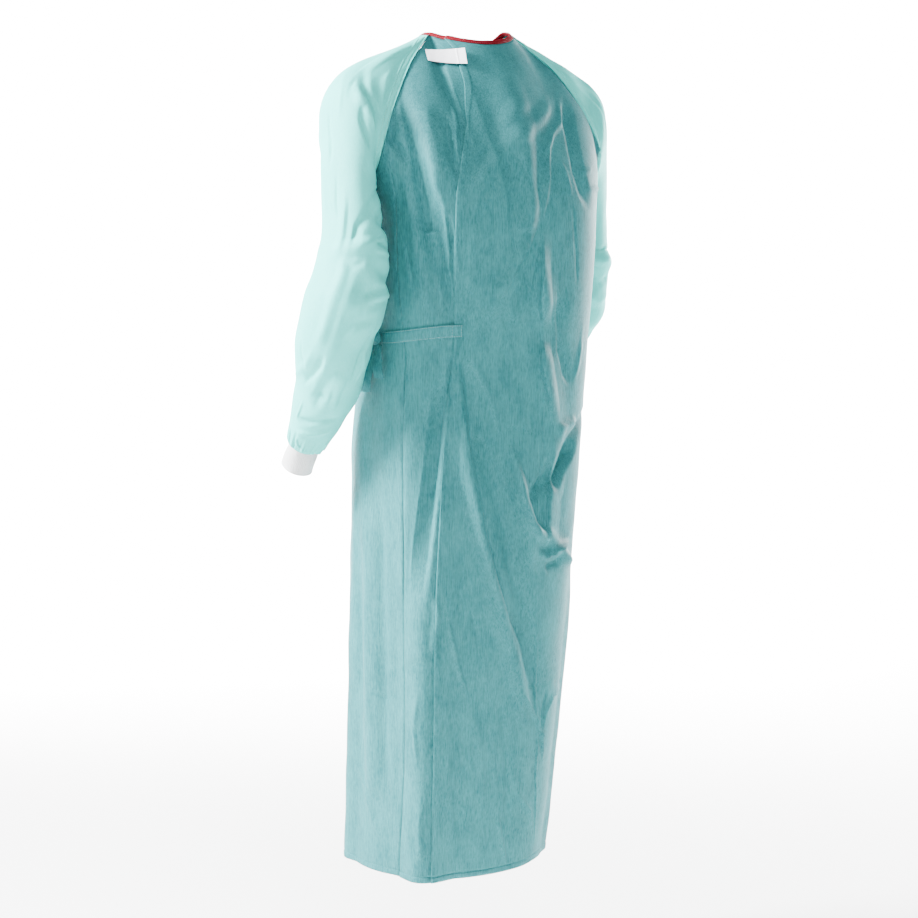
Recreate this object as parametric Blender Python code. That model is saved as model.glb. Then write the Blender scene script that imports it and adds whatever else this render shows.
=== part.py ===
"""Surgical gown, worn and hollow: a front, two back panels that overlap, raglan sleeves gathered
into knitted cuffs, a bound neck, a closure tab, and a back tie knotted to a front tie at the left
waist. Metres, +Z up. The front faces -Y and the wearer's left is +X. The origin is on the neck's
axis at the height where the gown rests on the shoulders. Heights are given as "down", the distance
below the origin. Angles go round the body in degrees: 0 at the centre back, 90 at the left side,
180 at the centre front, and negative on the right.
"""
import math
from collections import namedtuple

import bmesh
import bpy
from mathutils import Vector

# Cloth and seams
WALL = 0.0010
CUFF_WALL = 0.0022
SEAM_PULL = 0.0002
LENGTH = 1.358
CHEST = 0.32
UPPER_ROWS = 6
ROWS_BELOW_CHEST = (0.32, 0.38, 0.43, 0.461, 0.497, 0.55, 0.61, 0.68, 0.76, 0.85, 0.95, 1.06, 1.17,
                    1.27, LENGTH)

# Neck opening
NECK_RADIUS = 0.080
NECK_BACK_JOINT = 75.0
NECK_FRONT_JOINT = 115.0
SIDE_SLOPE = 30.0
BACK_SLOPE = 52.0
NECK_TOP_DROP = 0.0005
NECK_BACK_DIP = 0.0235
NECK_FRONT_DIP = 0.055
NECK_TILT = 0.005
BINDING_HEIGHT = 0.009
BINDING_THICKNESS = 0.0024

# Where the neck and armhole joints arrive on the chest ring, degrees
CHEST_BACK_JOINT = 28.0
CHEST_ARM_BACK = 71.0
CHEST_ARM_FRONT = 113.0
CHEST_FRONT_JOINT = 154.0
NECK_BLEND = 16.0

# Segments between joints: half neck at the back, raglan seam, underarm, half neck at the front
NECK_SEGMENTS = 5
RAGLAN_SEGMENTS = 8
UNDERARM_SEGMENTS = 6
FRONT_SEGMENTS = 6
SLEEVE_NECK_SEGMENTS = 4

# Ring sections of the body: a squareness of 2 is an ellipse, more is nearer a rounded box
Section = namedtuple("Section", "down middle_x middle_y half_width half_depth squareness")
SECTIONS = [
    Section(0.32, -0.006, 0.033, 0.181, 0.150, 3.2),
    Section(0.42, -0.006, 0.030, 0.180, 0.146, 3.1),
    Section(0.485, -0.006, 0.026, 0.178, 0.142, 3.0),
    Section(0.56, -0.004, 0.016, 0.182, 0.148, 2.8),
    Section(0.66, -0.002, 0.004, 0.184, 0.158, 2.6),
    Section(0.80, 0.000, -0.006, 0.181, 0.166, 2.4),
    Section(0.95, 0.004, -0.016, 0.178, 0.168, 2.3),
    Section(1.16, 0.010, -0.028, 0.171, 0.166, 2.2),
    Section(LENGTH, 0.018, -0.038, 0.164, 0.162, 2.1),
]

# Lines that run down the body, as angles
Line = namedtuple("Line", "down angle")
LEFT_SEAM = [Line(0.18, 71), Line(0.28, 72.5), Line(0.38, 72), Line(0.46, 68.5), Line(0.52, 65),
             Line(0.74, 59.5), Line(1.00, 55), Line(1.16, 53), Line(LENGTH, 54.5)]
RIGHT_SEAM = [Line(0.18, -71), Line(0.485, -70), Line(1.00, -68), Line(LENGTH, -66)]
HIDDEN_EDGE = [Line(0.00, -10), Line(0.32, -28), Line(LENGTH, -30)]
UNDERLAP_DROP = 0.0060
UNDERLAP_TURN = 18.0
UNDERLAP_NECK_TURN = 8.0
UNDERLAP_HIDDEN_DROP = 0.009

# The overlap's free edge; above the chest its angle is the chest angle of the column it crosses
FREE_EDGE = [Line(0.000, 19.9), Line(0.020, 15.4), Line(0.059, 14.1), Line(0.096, 14.6),
             Line(0.145, 20.4), Line(0.181, 28.6), Line(0.236, 36.7), Line(0.269, 39.9),
             Line(0.320, 41.6), Line(0.380, 42.0), Line(0.460, 41.8), Line(0.710, 41.5),
             Line(0.886, 40.5), Line(1.086, 38.5), Line(LENGTH, 35.8)]

# Raglan seams and armholes on the left; the right shoulder is set a little further back
Point = namedtuple("Point", "x y z")
RAGLAN_BACK = [Point(0.1000, 0.042, -0.026), Point(0.1300, 0.060, -0.058),
               Point(0.1560, 0.075, -0.097), Point(0.1780, 0.087, -0.138), Point(0.1950, 0.096, -0.178)]
UNDERARM = [Point(0.1950, 0.096, -0.178), Point(0.1960, 0.068, -0.224), Point(0.1900, 0.020, -0.246),
            Point(0.1890, -0.028, -0.228), Point(0.1850, -0.058, -0.186)]
RAGLAN_FRONT = [Point(0.1850, -0.058, -0.186), Point(0.1640, -0.072, -0.136),
                Point(0.1360, -0.072, -0.088), Point(0.1040, -0.058, -0.046)]
SHOULDER_SET = 0.008

# Large folds of the body: a line between two places, its half width, and its height outwards
Fold = namedtuple("Fold", "down_top angle_top down_end angle_end half_width height")
BODY_FOLDS = [
    Fold(0.62, 47, 1.90, 36, 19, 0.028),
    Fold(0.14, 61, 0.50, 46, 9, -0.008),
    Fold(0.53, 49, 0.94, 53, 9, -0.010),
    Fold(0.60, 38, 1.14, -18, 10, 0.010),
    Fold(0.62, 22, 1.16, -32, 10, -0.011),
    Fold(0.09, -29, 0.28, 38, 9, 0.005),
    Fold(0.24, -10, 0.50, 27, 10, 0.006),
    Fold(0.34, -11, 0.72, -31, 9, 0.010),
    Fold(0.60, -62, 0.75, -8, 10, -0.014),
    Fold(0.68, 2, 0.86, -14, 9, 0.009),
    Fold(0.78, -10, 0.87, -50, 10, 0.012),
    Fold(0.80, -64, 1.60, -58, 12, 0.008),
    Fold(0.55, 96, 1.60, 104, 12, 0.009),
    Fold(0.58, 128, 1.60, 134, 11, -0.011),
    Fold(0.50, 152, 1.60, 160, 12, 0.012),
    Fold(0.25, 178, 0.90, 184, 11, -0.008),
    Fold(0.50, 206, 1.60, 198, 12, 0.011),
    Fold(0.56, 232, 1.60, 226, 11, -0.011),
    Fold(0.60, 258, 1.60, 256, 12, 0.009),
    Fold(0.20, 150, 0.50, 166, 10, 0.006),
    Fold(0.20, 212, 0.52, 196, 10, 0.006),
]
BACK_SWELL = 0.55
BELT_DOWN = 0.479
BELT_CALM = 0.038

# Sleeve rings from the upper arm to the end that is gathered into the cuff
Ring = namedtuple("Ring", "x y z half_side half_deep")
LEFT_ARM = [
    Ring(0.230, 0.054, -0.312, 0.043, 0.064), Ring(0.233, 0.058, -0.352, 0.049, 0.072),
    Ring(0.238, 0.062, -0.396, 0.056, 0.077),
    Ring(0.250, 0.056, -0.440, 0.060, 0.076), Ring(0.257, 0.032, -0.505, 0.056, 0.070),
    Ring(0.253, 0.006, -0.560, 0.049, 0.060), Ring(0.257, -0.024, -0.606, 0.041, 0.048),
    Ring(0.261, -0.045, -0.640, 0.034, 0.037), Ring(0.264, -0.056, -0.660, 0.0285, 0.0295),
]
RIGHT_ARM = [
    Ring(-0.240, -0.026, -0.312, 0.045, 0.062), Ring(-0.243, -0.032, -0.352, 0.049, 0.066),
    Ring(-0.247, -0.044, -0.398, 0.052, 0.067),
    Ring(-0.250, -0.072, -0.440, 0.055, 0.066), Ring(-0.246, -0.118, -0.468, 0.052, 0.062),
    Ring(-0.238, -0.168, -0.490, 0.047, 0.054), Ring(-0.226, -0.212, -0.508, 0.041, 0.046),
    Ring(-0.215, -0.250, -0.523, 0.034, 0.036), Ring(-0.209, -0.270, -0.530, 0.0285, 0.0295),
]
# Tilted rings over the shoulder: their middle and two half axes, to the top and to the back
Cap = namedtuple("Cap", "middle top back")
LEFT_CAPS = [Cap(Point(0.2180, 0.016, -0.170), Point(0.012, -0.002, 0.092), Point(-0.006, 0.076, 0.004)),
             Cap(Point(0.2260, 0.034, -0.236), Point(0.036, 0.000, 0.046), Point(-0.002, 0.064, 0.004))]
RIGHT_CAPS = [Cap(Point(-0.2150, 0.018, -0.170), Point(-0.010, -0.002, 0.092), Point(0.006, 0.078, 0.004)),
              Cap(Point(-0.2300, -0.004, -0.236), Point(-0.036, 0.000, 0.046), Point(0.002, 0.062, 0.004))]
ROWS_BETWEEN_RINGS = 2
CAP_ROWS = 4
SLEEVE_NECK_TURN = 22.0
SLEEVE_ARM_BACK_TURN = 116.0
GATHER_HEIGHT = 0.0024
GATHER_RINGS = 1.6
SEAM_EASE = 0.8
SHARED_EDGE = 0.2

# Large folds of a sleeve: ring number from the shoulder ring, turn round the arm, and its slant
SleeveFold = namedtuple("SleeveFold", "ring turn slant half_width half_length height")
SLEEVE_FOLDS = [
    SleeveFold(0.7, 60, -20, 0.35, 55, -0.006), SleeveFold(3.0, 130, 30, 0.40, 60, -0.008),
    SleeveFold(4.0, 60, -30, 0.45, 60, 0.007), SleeveFold(4.8, 130, 25, 0.40, 60, -0.009),
    SleeveFold(5.6, 60, 20, 0.45, 70, 0.006), SleeveFold(6.6, 110, -25, 0.45, 70, -0.007),
    SleeveFold(4.4, 270, 25, 0.45, 60, -0.008), SleeveFold(6.0, 250, -20, 0.50, 70, 0.006),
    SleeveFold(7.4, 30, 20, 0.45, 80, -0.005),
]

# Cuffs
CUFF_INSERT = 0.004
CUFF_LENGTH = 0.046
CUFF_RADIUS = 0.0245
CUFF_END_RADIUS = 0.0258
CUFF_ROWS = 4

# Tab and ties
TAB_WALL = 0.0010
TAB_COLUMNS = 12
TAB_LIFT = 0.0005
TabEnd = namedtuple("TabEnd", "angle level_top level_bottom")
TAB_LEFT = TabEnd(33.9, 0.048, 0.128)
TAB_RIGHT = TabEnd(11.2, 0.057, 0.159)
TIE_WIDTH = 0.020
TIE_WALL = 0.0012
TIE_LIFT = 0.0010
TIE_SEWN_ANGLE = 37.5
TIE_RISE = 0.006
KNOT_ANGLE = 88.0
TIE_FRONT_ANGLE = 122.0
KNOT_SIZE = 0.013
KNOT_LIFT = 0.0004
KNOT_FOOT = 0.68
KNOT_FLAT = 0.45
LAP_STEP_GAP = 0.6
LAP_STEP_TURN = 5.0
END_ROWS = 6
END_ACROSS = Vector((0.35, -1.0, 0.0)).normalized()
END_OUT = Vector((1.0, 0.35, 0.0)).normalized()
END_LEAN = 0.006
END_BOW = 0.004
END_PINCH = 0.55
TieEnd = namedtuple("TieEnd", "name shift drop sway length")
TIE_ENDS = [TieEnd("tie_end_back", 0.010, 0.0118, 0.013, 0.052),
            TieEnd("tie_end_front", -0.006, 0.0124, -0.020, 0.075)]


def smooth_step(value):
    """A soft change from 0 to 1."""
    value = min(max(value, 0.0), 1.0)
    return value * value * (3 - 2 * value)


def on_curve(rows, key):
    """The columns of a table at a key, on a smooth curve; the table's first column is the key."""
    last = len(rows) - 1
    if key <= rows[0][0]:
        return [float(value) for value in rows[0][1:]]
    if key >= rows[last][0]:
        return [float(value) for value in rows[last][1:]]
    i = max(j for j in range(last) if rows[j][0] <= key)
    lo, hi = max(i - 1, 0), min(i + 2, last)
    step = rows[i + 1][0] - rows[i][0]
    t = (key - rows[i][0]) / step
    values = []
    for column in range(1, len(rows[0])):
        a, b = rows[i][column], rows[i + 1][column]
        slope_a = (b - rows[lo][column]) / (rows[i + 1][0] - rows[lo][0]) * step
        slope_b = (rows[hi][column] - a) / (rows[hi][0] - rows[i][0]) * step
        values.append(hermite(a, slope_a, b, slope_b, t))
    return values


def hermite(start, start_slope, end, end_slope, t):
    """A cubic curve between two values, or two vectors, with their slopes."""
    t2, t3 = t * t, t * t * t
    return (start * (2 * t3 - 3 * t2 + 1) + start_slope * (t3 - 2 * t2 + t)
            + end * (3 * t2 - 2 * t3) + end_slope * (t3 - t2))


def along(points, share):
    """The place at a share of a chain of points, on a smooth curve through them."""
    lengths = [0.0]
    for a, b in zip(points, points[1:]):
        lengths.append(lengths[-1] + (Vector(b) - Vector(a)).length)
    rows = [(length, *point) for length, point in zip(lengths, points)]
    return Vector(on_curve(rows, share * lengths[-1]))


def neck_edge(angle):
    """A point on the neck opening's edge at an angle round the neck."""
    turn = math.radians(angle)
    back, front = max(math.cos(turn), 0.0), max(-math.cos(turn), 0.0)
    dip = NECK_BACK_DIP * back ** 1.5 + NECK_FRONT_DIP * front ** 1.5
    height = -NECK_TOP_DROP - dip - NECK_TILT * math.sin(turn)
    return Vector((NECK_RADIUS * math.sin(turn), NECK_RADIUS * math.cos(turn), height))


def neck_lean(angle):
    """The direction in which the cloth leaves the neck: steep at the back and front, flat at the sides."""
    turn = math.radians(angle)
    slope = math.radians(SIDE_SLOPE + (BACK_SLOPE - SIDE_SLOPE) * abs(math.cos(turn)) ** 0.7)
    level = Vector((math.sin(turn), math.cos(turn), 0.0))
    return level * math.cos(slope) - Vector((0, 0, 1)) * math.sin(slope)


def on_side(point, side):
    """A left hand point, or its mirror image on the right shoulder, which sits further back."""
    shift = 0.0 if side > 0 else SHOULDER_SET * smooth_step((abs(point[0]) - NECK_RADIUS) / 0.08)
    return Vector((side * point[0], point[1] + shift, point[2]))


def top_edge(angle):
    """The top of the body at a chest angle: neck, raglan seams and armholes."""
    side = 1 if angle >= 0 else -1
    size = abs(angle)
    if size <= CHEST_BACK_JOINT:
        return neck_edge(angle * NECK_BACK_JOINT / CHEST_BACK_JOINT)
    if size >= CHEST_FRONT_JOINT:
        share = (size - CHEST_FRONT_JOINT) / (180 - CHEST_FRONT_JOINT)
        return neck_edge(side * (NECK_FRONT_JOINT + share * (180 - NECK_FRONT_JOINT)))
    back, front = neck_edge(side * NECK_BACK_JOINT), neck_edge(side * NECK_FRONT_JOINT)
    if size <= CHEST_ARM_BACK:
        chain = [back] + [on_side(point, side) for point in RAGLAN_BACK]
        return along(chain, (size - CHEST_BACK_JOINT) / (CHEST_ARM_BACK - CHEST_BACK_JOINT))
    if size <= CHEST_ARM_FRONT:
        chain = [on_side(point, side) for point in UNDERARM]
        return along(chain, (size - CHEST_ARM_BACK) / (CHEST_ARM_FRONT - CHEST_ARM_BACK))
    chain = [on_side(point, side) for point in RAGLAN_FRONT] + [front]
    return along(chain, (size - CHEST_ARM_FRONT) / (CHEST_FRONT_JOINT - CHEST_ARM_FRONT))


def outwards(angle):
    """The level direction away from the body's axis."""
    turn = math.radians(angle)
    return Vector((math.sin(turn), math.cos(turn), 0.0))


def fold_height(angle, down):
    """How far the large folds push the cloth out or in, calm where the belt holds it."""
    total = 0.0
    for fold in BODY_FOLDS:
        share = (down - fold.down_top) / (fold.down_end - fold.down_top)
        if not 0.0 < share < 1.0:
            continue
        middle = fold.angle_top + share * (fold.angle_end - fold.angle_top)
        off = (angle - middle + 180) % 360 - 180
        if abs(off) < fold.half_width:
            across = math.cos(math.pi / 2 * off / fold.half_width) ** 2
            ends = smooth_step(share * 4) * smooth_step((1 - share) * 4)
            total += fold.height * across * ends
    return total * smooth_step(abs(down - BELT_DOWN) / BELT_CALM - 0.4)


def ring_point(angle, down):
    """A point of the body below the chest."""
    middle_x, middle_y, width, depth, square = on_curve(SECTIONS, down)
    turn = math.radians(angle)
    reach = (abs(math.sin(turn) / width) ** square + abs(math.cos(turn) / depth) ** square)
    radius = reach ** (-1 / square) + fold_height(angle, down)
    return Vector((middle_x + radius * math.sin(turn), middle_y + radius * math.cos(turn), -down))


def body_point(angle, level):
    """A point of the body: level 0 is its top edge, 1 the chest, and each further 1 a metre down."""
    if level >= 1:
        return ring_point(angle, CHEST + level - 1)
    start, end = top_edge(angle), ring_point(angle, CHEST)
    span = (end - start).length
    away = outwards(angle)
    size = min(abs(angle), 360 - abs(angle))
    arm = smooth_step((size - CHEST_ARM_BACK + 16) / 16) * smooth_step((CHEST_ARM_FRONT + 16 - size) / 16)
    leave = ((end - start).normalized() + BACK_SWELL * (1 - arm) * away).normalized()
    beyond = smooth_step((size - CHEST_BACK_JOINT) / NECK_BLEND + 1)
    beyond *= smooth_step((CHEST_FRONT_JOINT - size) / NECK_BLEND + 1)
    lean = neck_lean(math.degrees(math.atan2(start.x, start.y)))
    leave = (lean * (1 - beyond) + leave * beyond).normalized() * span
    arrive = (ring_point(angle, CHEST + 0.01) - end) * 100 * span
    point = hermite(start, leave, end, arrive, level)
    return point + away * fold_height(angle, -point.z) * smooth_step(level * 2.5)


def level_of(down):
    """The level of a height below the chest."""
    return 1 + down - CHEST


def line_angle(line, down):
    """The angle of a line that runs down the body."""
    return on_curve(line, down)[0]


def body_normal(angle, level):
    """The direction out of the cloth."""
    across = body_point(angle + 0.5, level) - body_point(angle - 0.5, level)
    low = max(level - 0.01, 0.002)
    downwards = body_point(angle, low + 0.02) - body_point(angle, low)
    return across.cross(downwards).normalized()


def levels():
    """The rows of a body panel, from its top edge to the hem."""
    return [i / UPPER_ROWS for i in range(UPPER_ROWS)] + [level_of(down) for down in ROWS_BELOW_CHEST]


def approximate_down(level):
    """The height of a level, for the lines that run down the body."""
    return CHEST * level if level < 1 else CHEST + level - 1


def spaced(start, end, count):
    """Evenly spaced values, both ends included."""
    return [start + (end - start) * i / count for i in range(count + 1)]


def half_stations(side):
    """The chest angles of the body's columns on one half, grouped between its joints."""
    return [
        [side * a for a in spaced(0, CHEST_BACK_JOINT, NECK_SEGMENTS)],
        [side * a for a in spaced(CHEST_BACK_JOINT, CHEST_ARM_BACK, RAGLAN_SEGMENTS)],
        [side * a for a in spaced(CHEST_ARM_BACK, CHEST_ARM_FRONT, UNDERARM_SEGMENTS)],
        [side * a for a in spaced(CHEST_ARM_FRONT, CHEST_FRONT_JOINT, RAGLAN_SEGMENTS)],
        [side * a for a in spaced(CHEST_FRONT_JOINT, 180, FRONT_SEGMENTS)],
    ]


def seam_angle(side, level):
    """The side seam's angle at a level."""
    line = LEFT_SEAM if side > 0 else RIGHT_SEAM
    return line_angle(line, approximate_down(level))


def slid_angle(station, level):
    """A column's angle at a level, as the side seam draws it along below the arm."""
    side = 1 if station >= 0 else -1
    if level < 0.5:
        return station
    seam = abs(seam_angle(side, level))
    blend = smooth_step((level - 0.5) * 4)
    seam = CHEST_ARM_BACK + (seam - CHEST_ARM_BACK) * blend
    size = abs(station)
    if size <= CHEST_ARM_BACK:
        return side * size * seam / CHEST_ARM_BACK
    return side * (180 - (180 - size) * (180 - seam) / (180 - CHEST_ARM_BACK))


def pulled(angle, level, toward):
    """A panel's point and the direction out of its cloth, drawn back from the seam at its edge."""
    point, out = body_point(angle, level), body_normal(angle, level)
    seam = SEAMS.get((round(angle, 2), level))
    if seam:
        point, out = point - seam.apart * SEAM_PULL, seam.body_out
    if toward:
        step = body_point(angle + toward, level) - body_point(angle, level)
        point = point + step.normalized() * SEAM_PULL
    return point, out


def panel_front():
    """Columns of the front, from the left side seam round to the right one."""
    left, right = half_stations(1), half_stations(-1)
    stations = left[2] + left[3][1:] + left[4][1:]
    stations += [-a for a in reversed(stations[:-1])]
    rows = []
    for level in levels():
        row = []
        for i, station in enumerate(stations):
            toward = 1 if i == 0 else (-1 if i == len(stations) - 1 else 0)
            row.append(pulled(slid_angle(station, level), level, toward))
        rows.append(row)
    return rows


def underlap_drop(angle, level):
    """How far the left back panel lies below the overlap that covers it."""
    edge = line_angle(FREE_EDGE, approximate_down(level))
    turn = UNDERLAP_NECK_TURN + (UNDERLAP_TURN - UNDERLAP_NECK_TURN) * smooth_step(level)
    near = smooth_step((edge + turn - angle) / turn)
    under = smooth_step((edge - angle) / UNDERLAP_TURN) * smooth_step(level * 2)
    return UNDERLAP_DROP * near + UNDERLAP_HIDDEN_DROP * under


def left_back_point(angle, level, toward=0):
    """A point of the left back panel, and the direction out of its cloth."""
    point, out = pulled(angle, level, toward)
    return point - out * underlap_drop(angle, level), out


def panel_back_left():
    """Columns of the left back panel, from its hidden edge to the left side seam."""
    groups = half_stations(1)
    rows = []
    for level in levels():
        hidden = line_angle(HIDDEN_EDGE, approximate_down(level))
        row = [left_back_point(a, level) for a in spaced(hidden, 0, NECK_SEGMENTS)[:-1]]
        for station in groups[0] + groups[1][1:]:
            toward = -1 if station == CHEST_ARM_BACK else 0
            row.append(left_back_point(slid_angle(station, level), level, toward))
        rows.append(row)
    return rows


def panel_back_right():
    """Columns of the right back panel, from the right side seam to its free edge."""
    groups = half_stations(-1)
    rows = []
    for level in levels():
        edge = line_angle(FREE_EDGE, approximate_down(level))
        row = []
        for station in list(reversed(groups[1]))[:-1] + list(reversed(groups[0])):
            toward = 1 if station == -CHEST_ARM_BACK else 0
            row.append(pulled(slid_angle(station, level), level, toward))
        row += [pulled(a, level, 0) for a in spaced(0, edge, NECK_SEGMENTS + 1)[1:]]
        rows.append(row)
    return rows


def sleeve_turns():
    """The turns round the arm of a sleeve's columns."""
    turns = spaced(SLEEVE_NECK_TURN, SLEEVE_ARM_BACK_TURN, RAGLAN_SEGMENTS)[:-1]
    turns += spaced(SLEEVE_ARM_BACK_TURN, 360 - SLEEVE_ARM_BACK_TURN, UNDERARM_SEGMENTS)[:-1]
    turns += spaced(360 - SLEEVE_ARM_BACK_TURN, 360 - SLEEVE_NECK_TURN, RAGLAN_SEGMENTS)
    turns += spaced(360 - SLEEVE_NECK_TURN, 360 + SLEEVE_NECK_TURN, SLEEVE_NECK_SEGMENTS)[1:-1]
    return turns


def seam_stations(side):
    """The chest angles of the columns that end on a raglan seam or armhole."""
    groups = half_stations(side)
    return groups[1][:-1] + groups[2][:-1] + groups[3]


def sleeve_loop(side):
    """The sleeve's top edge: points, and the body's outward directions there."""
    stations = seam_stations(side)
    points = [top_edge(station) for station in stations]
    normals = [body_normal(station, 0.0) for station in stations]
    neck = [side * angle for angle in spaced(NECK_FRONT_JOINT, NECK_BACK_JOINT, SLEEVE_NECK_SEGMENTS)]
    points += [neck_edge(angle) for angle in neck[1:-1]]
    normals += [None] * (SLEEVE_NECK_SEGMENTS - 1)
    return points, normals


def arm_frame(arm, number, side):
    """The middle of an arm ring and its two half axes, outwards and backwards."""
    ring = arm[number]
    before, after = arm[max(number - 1, 0)], arm[min(number + 1, len(arm) - 1)]
    run = (Vector(after[:3]) - Vector(before[:3])).normalized()
    outer = Vector((side, 0.0, 0.0))
    outer = (outer - run * outer.dot(run)).normalized()
    back = outer.cross(run) * side
    return Vector(ring[:3]), outer * ring.half_side, back * ring.half_deep


def sleeve_lines(side):
    """For each column of a sleeve, the points that its curve goes through, and how it starts."""
    arm, caps = (LEFT_ARM, LEFT_CAPS) if side > 0 else (RIGHT_ARM, RIGHT_CAPS)
    turns = sleeve_turns()
    loop, normals = sleeve_loop(side)
    frames = [(Vector(cap.middle), Vector(cap.top), Vector(cap.back)) for cap in caps]
    frames += [arm_frame(arm, number, side) for number in range(len(arm))]
    lines, slopes = [], []
    for turn, start, normal in zip(turns, loop, normals):
        c, s = math.cos(math.radians(turn)), math.sin(math.radians(turn))
        line = [start] + [centre + outer * c + rear * s for centre, outer, rear in frames]
        straight = line[1] - start
        if normal is None:
            leave = neck_lean(math.degrees(math.atan2(start.x, start.y)))
        else:
            leave = (straight - normal * straight.dot(normal)).normalized()
        ease = SEAM_EASE * smooth_step((abs(turn % 360 - 180) - 40) / 45)
        lines.append(line)
        slopes.append(straight * (1 - ease) + leave * (ease * straight.length))
    return turns, lines, slopes


Seam = namedtuple("Seam", "apart body_out sleeve_out")
SEAMS = {}


def find_seams(side):
    """Where body and sleeve meet: the way that parts them, and the directions out of both cloths."""
    stations = seam_stations(side)
    slopes = sleeve_lines(side)[2]
    for i, station in enumerate(stations):
        before, after = stations[max(i - 1, 0)], stations[min(i + 1, len(stations) - 1)]
        run = (top_edge(after) - top_edge(before)).normalized()
        down_body = body_point(station, 0.03) - top_edge(station)
        down_body = (down_body - run * down_body.dot(run)).normalized()
        down_sleeve = (slopes[i] - run * slopes[i].dot(run)).normalized()
        body_out = run.cross(down_body) * side
        sleeve_out = run.cross(down_sleeve) * -side
        if body_out.dot(sleeve_out) > SHARED_EDGE:
            body_out = sleeve_out = (body_out + sleeve_out).normalized()
        SEAMS[(round(station, 2), 0.0)] = Seam((down_sleeve - down_body).normalized(), body_out, sleeve_out)


def line_point(line, slope, place):
    """A point on a column's curve, by ring number; the curve leaves the seam along its slope."""
    if place < 1:
        return hermite(line[0], slope, line[1], (line[2] - line[0]) / 2, place)
    rows = [(number, *point) for number, point in enumerate(line)]
    return Vector(on_curve(rows, place))


def sleeve_fold_height(place, turn):
    """How far a sleeve's large folds push its cloth out or in."""
    total = 0.0
    for fold in SLEEVE_FOLDS:
        off_turn = (turn - fold.turn + 180) % 360 - 180
        off_ring = place - fold.ring - fold.slant / 100 * off_turn / 60
        if abs(off_turn) < fold.half_length and abs(off_ring) < fold.half_width:
            across = math.cos(math.pi / 2 * off_ring / fold.half_width) ** 2
            length = math.cos(math.pi / 2 * off_turn / fold.half_length) ** 2
            total += fold.height * across * length
    return total


def sleeve_rows(side):
    """Rows of a sleeve from the raglan seam to the gathered end."""
    turns, lines, slopes = sleeve_lines(side)
    last = len(lines[0]) - 1
    places = [i / CAP_ROWS for i in range(CAP_ROWS)]
    places += [1 + i / ROWS_BETWEEN_RINGS for i in range((last - 1) * ROWS_BETWEEN_RINGS + 1)]
    rows = []
    for place in places:
        row = []
        on_ring = [line_point(line, slope, place) for line, slope in zip(lines, slopes)]
        middle = sum(on_ring, Vector()) / len(on_ring)
        for number, (turn, point) in enumerate(zip(turns, on_ring)):
            away = (point - middle).normalized()
            point = point + away * sleeve_fold_height(place, turn)
            gather = smooth_step((place - last + GATHER_RINGS) / GATHER_RINGS)
            wave = 1 if number % 2 else -1
            row.append(point + away * wave * gather * GATHER_HEIGHT)
        rows.append(row)
    pairs = [list(zip(row, outs)) for row, outs in zip(rows, tube_normals(rows, side))]
    for i, station in enumerate(seam_stations(side)):
        seam = SEAMS[(round(station, 2), 0.0)]
        pairs[0][i] = (rows[0][i] + seam.apart * SEAM_PULL, seam.sleeve_out)
    return [row + [row[0]] for row in pairs]


def tube_normals(rows, side):
    """The directions out of a tube of cloth at each of its points."""
    normals = []
    for j in range(len(rows)):
        above, below = rows[max(j - 1, 0)], rows[min(j + 1, len(rows) - 1)]
        count = len(rows[j])
        normals.append([])
        for i in range(count):
            across = rows[j][(i + 1) % count] - rows[j][i - 1]
            normals[j].append((below[i] - above[i]).cross(across).normalized() * side)
    return normals


def cuff_rows(side):
    """Rows of a knitted cuff, from inside the sleeve's end to its open end."""
    arm = LEFT_ARM if side > 0 else RIGHT_ARM
    centre, outer, back = arm_frame(arm, len(arm) - 1, side)
    run = (Vector(arm[-1][:3]) - Vector(arm[-2][:3])).normalized()
    rows = []
    for i in range(CUFF_ROWS + 1):
        share = i / CUFF_ROWS
        place = centre + run * (CUFF_LENGTH * share - CUFF_INSERT)
        radius = CUFF_RADIUS + (CUFF_END_RADIUS - CUFF_RADIUS) * smooth_step(share * 1.5)
        row = []
        for turn in sleeve_turns():
            c, s = math.cos(math.radians(turn)), math.sin(math.radians(turn))
            away = outer.normalized() * c + back.normalized() * s
            row.append((place + away * radius, away))
        rows.append(row + [row[0]])
    return rows


def neck_frames():
    """Points, outward directions and down directions along the neck edge, for its binding."""
    places = []
    left, right = half_stations(1), half_stations(-1)
    hidden = HIDDEN_EDGE[0].angle
    for a in spaced(hidden, 0, NECK_SEGMENTS)[:-1] + left[0]:
        places.append(left_back_point(a, 0.0)[0])
    for angle in spaced(NECK_BACK_JOINT, NECK_FRONT_JOINT, SLEEVE_NECK_SEGMENTS)[1:-1]:
        places.append(neck_edge(angle))
    front = left[4] + [-a for a in reversed(left[4][:-1])]
    places += [top_edge(a) for a in front]
    for angle in spaced(-NECK_FRONT_JOINT, -NECK_BACK_JOINT, SLEEVE_NECK_SEGMENTS)[1:-1]:
        places.append(neck_edge(angle))
    for a in list(reversed(right[0])) + spaced(0, FREE_EDGE[0].angle, NECK_SEGMENTS + 1)[1:]:
        places.append(pulled(a, 0.0, 0)[0])
    return places


def binding_rows():
    """Cross sections of the neck binding: a folded strip that stands on the neck seam."""
    places = neck_frames()
    half, low, high = BINDING_THICKNESS / 2, -SEAM_PULL, -BINDING_HEIGHT
    profile = [(half, low), (half, high + half), (0.0, high), (-half, high + half), (-half, low), (0.0, low)]
    rows = []
    for i, place in enumerate(places):
        run = (places[min(i + 1, len(places) - 1)] - places[max(i - 1, 0)]).normalized()
        lean = neck_lean(math.degrees(math.atan2(place.x, place.y)))
        downwards = (lean - run * lean.dot(run)).normalized()
        normal = run.cross(downwards).normalized()
        middle = place - normal * WALL / 2
        rows.append([middle + normal * n + downwards * d for n, d in profile])
    return rows


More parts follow.
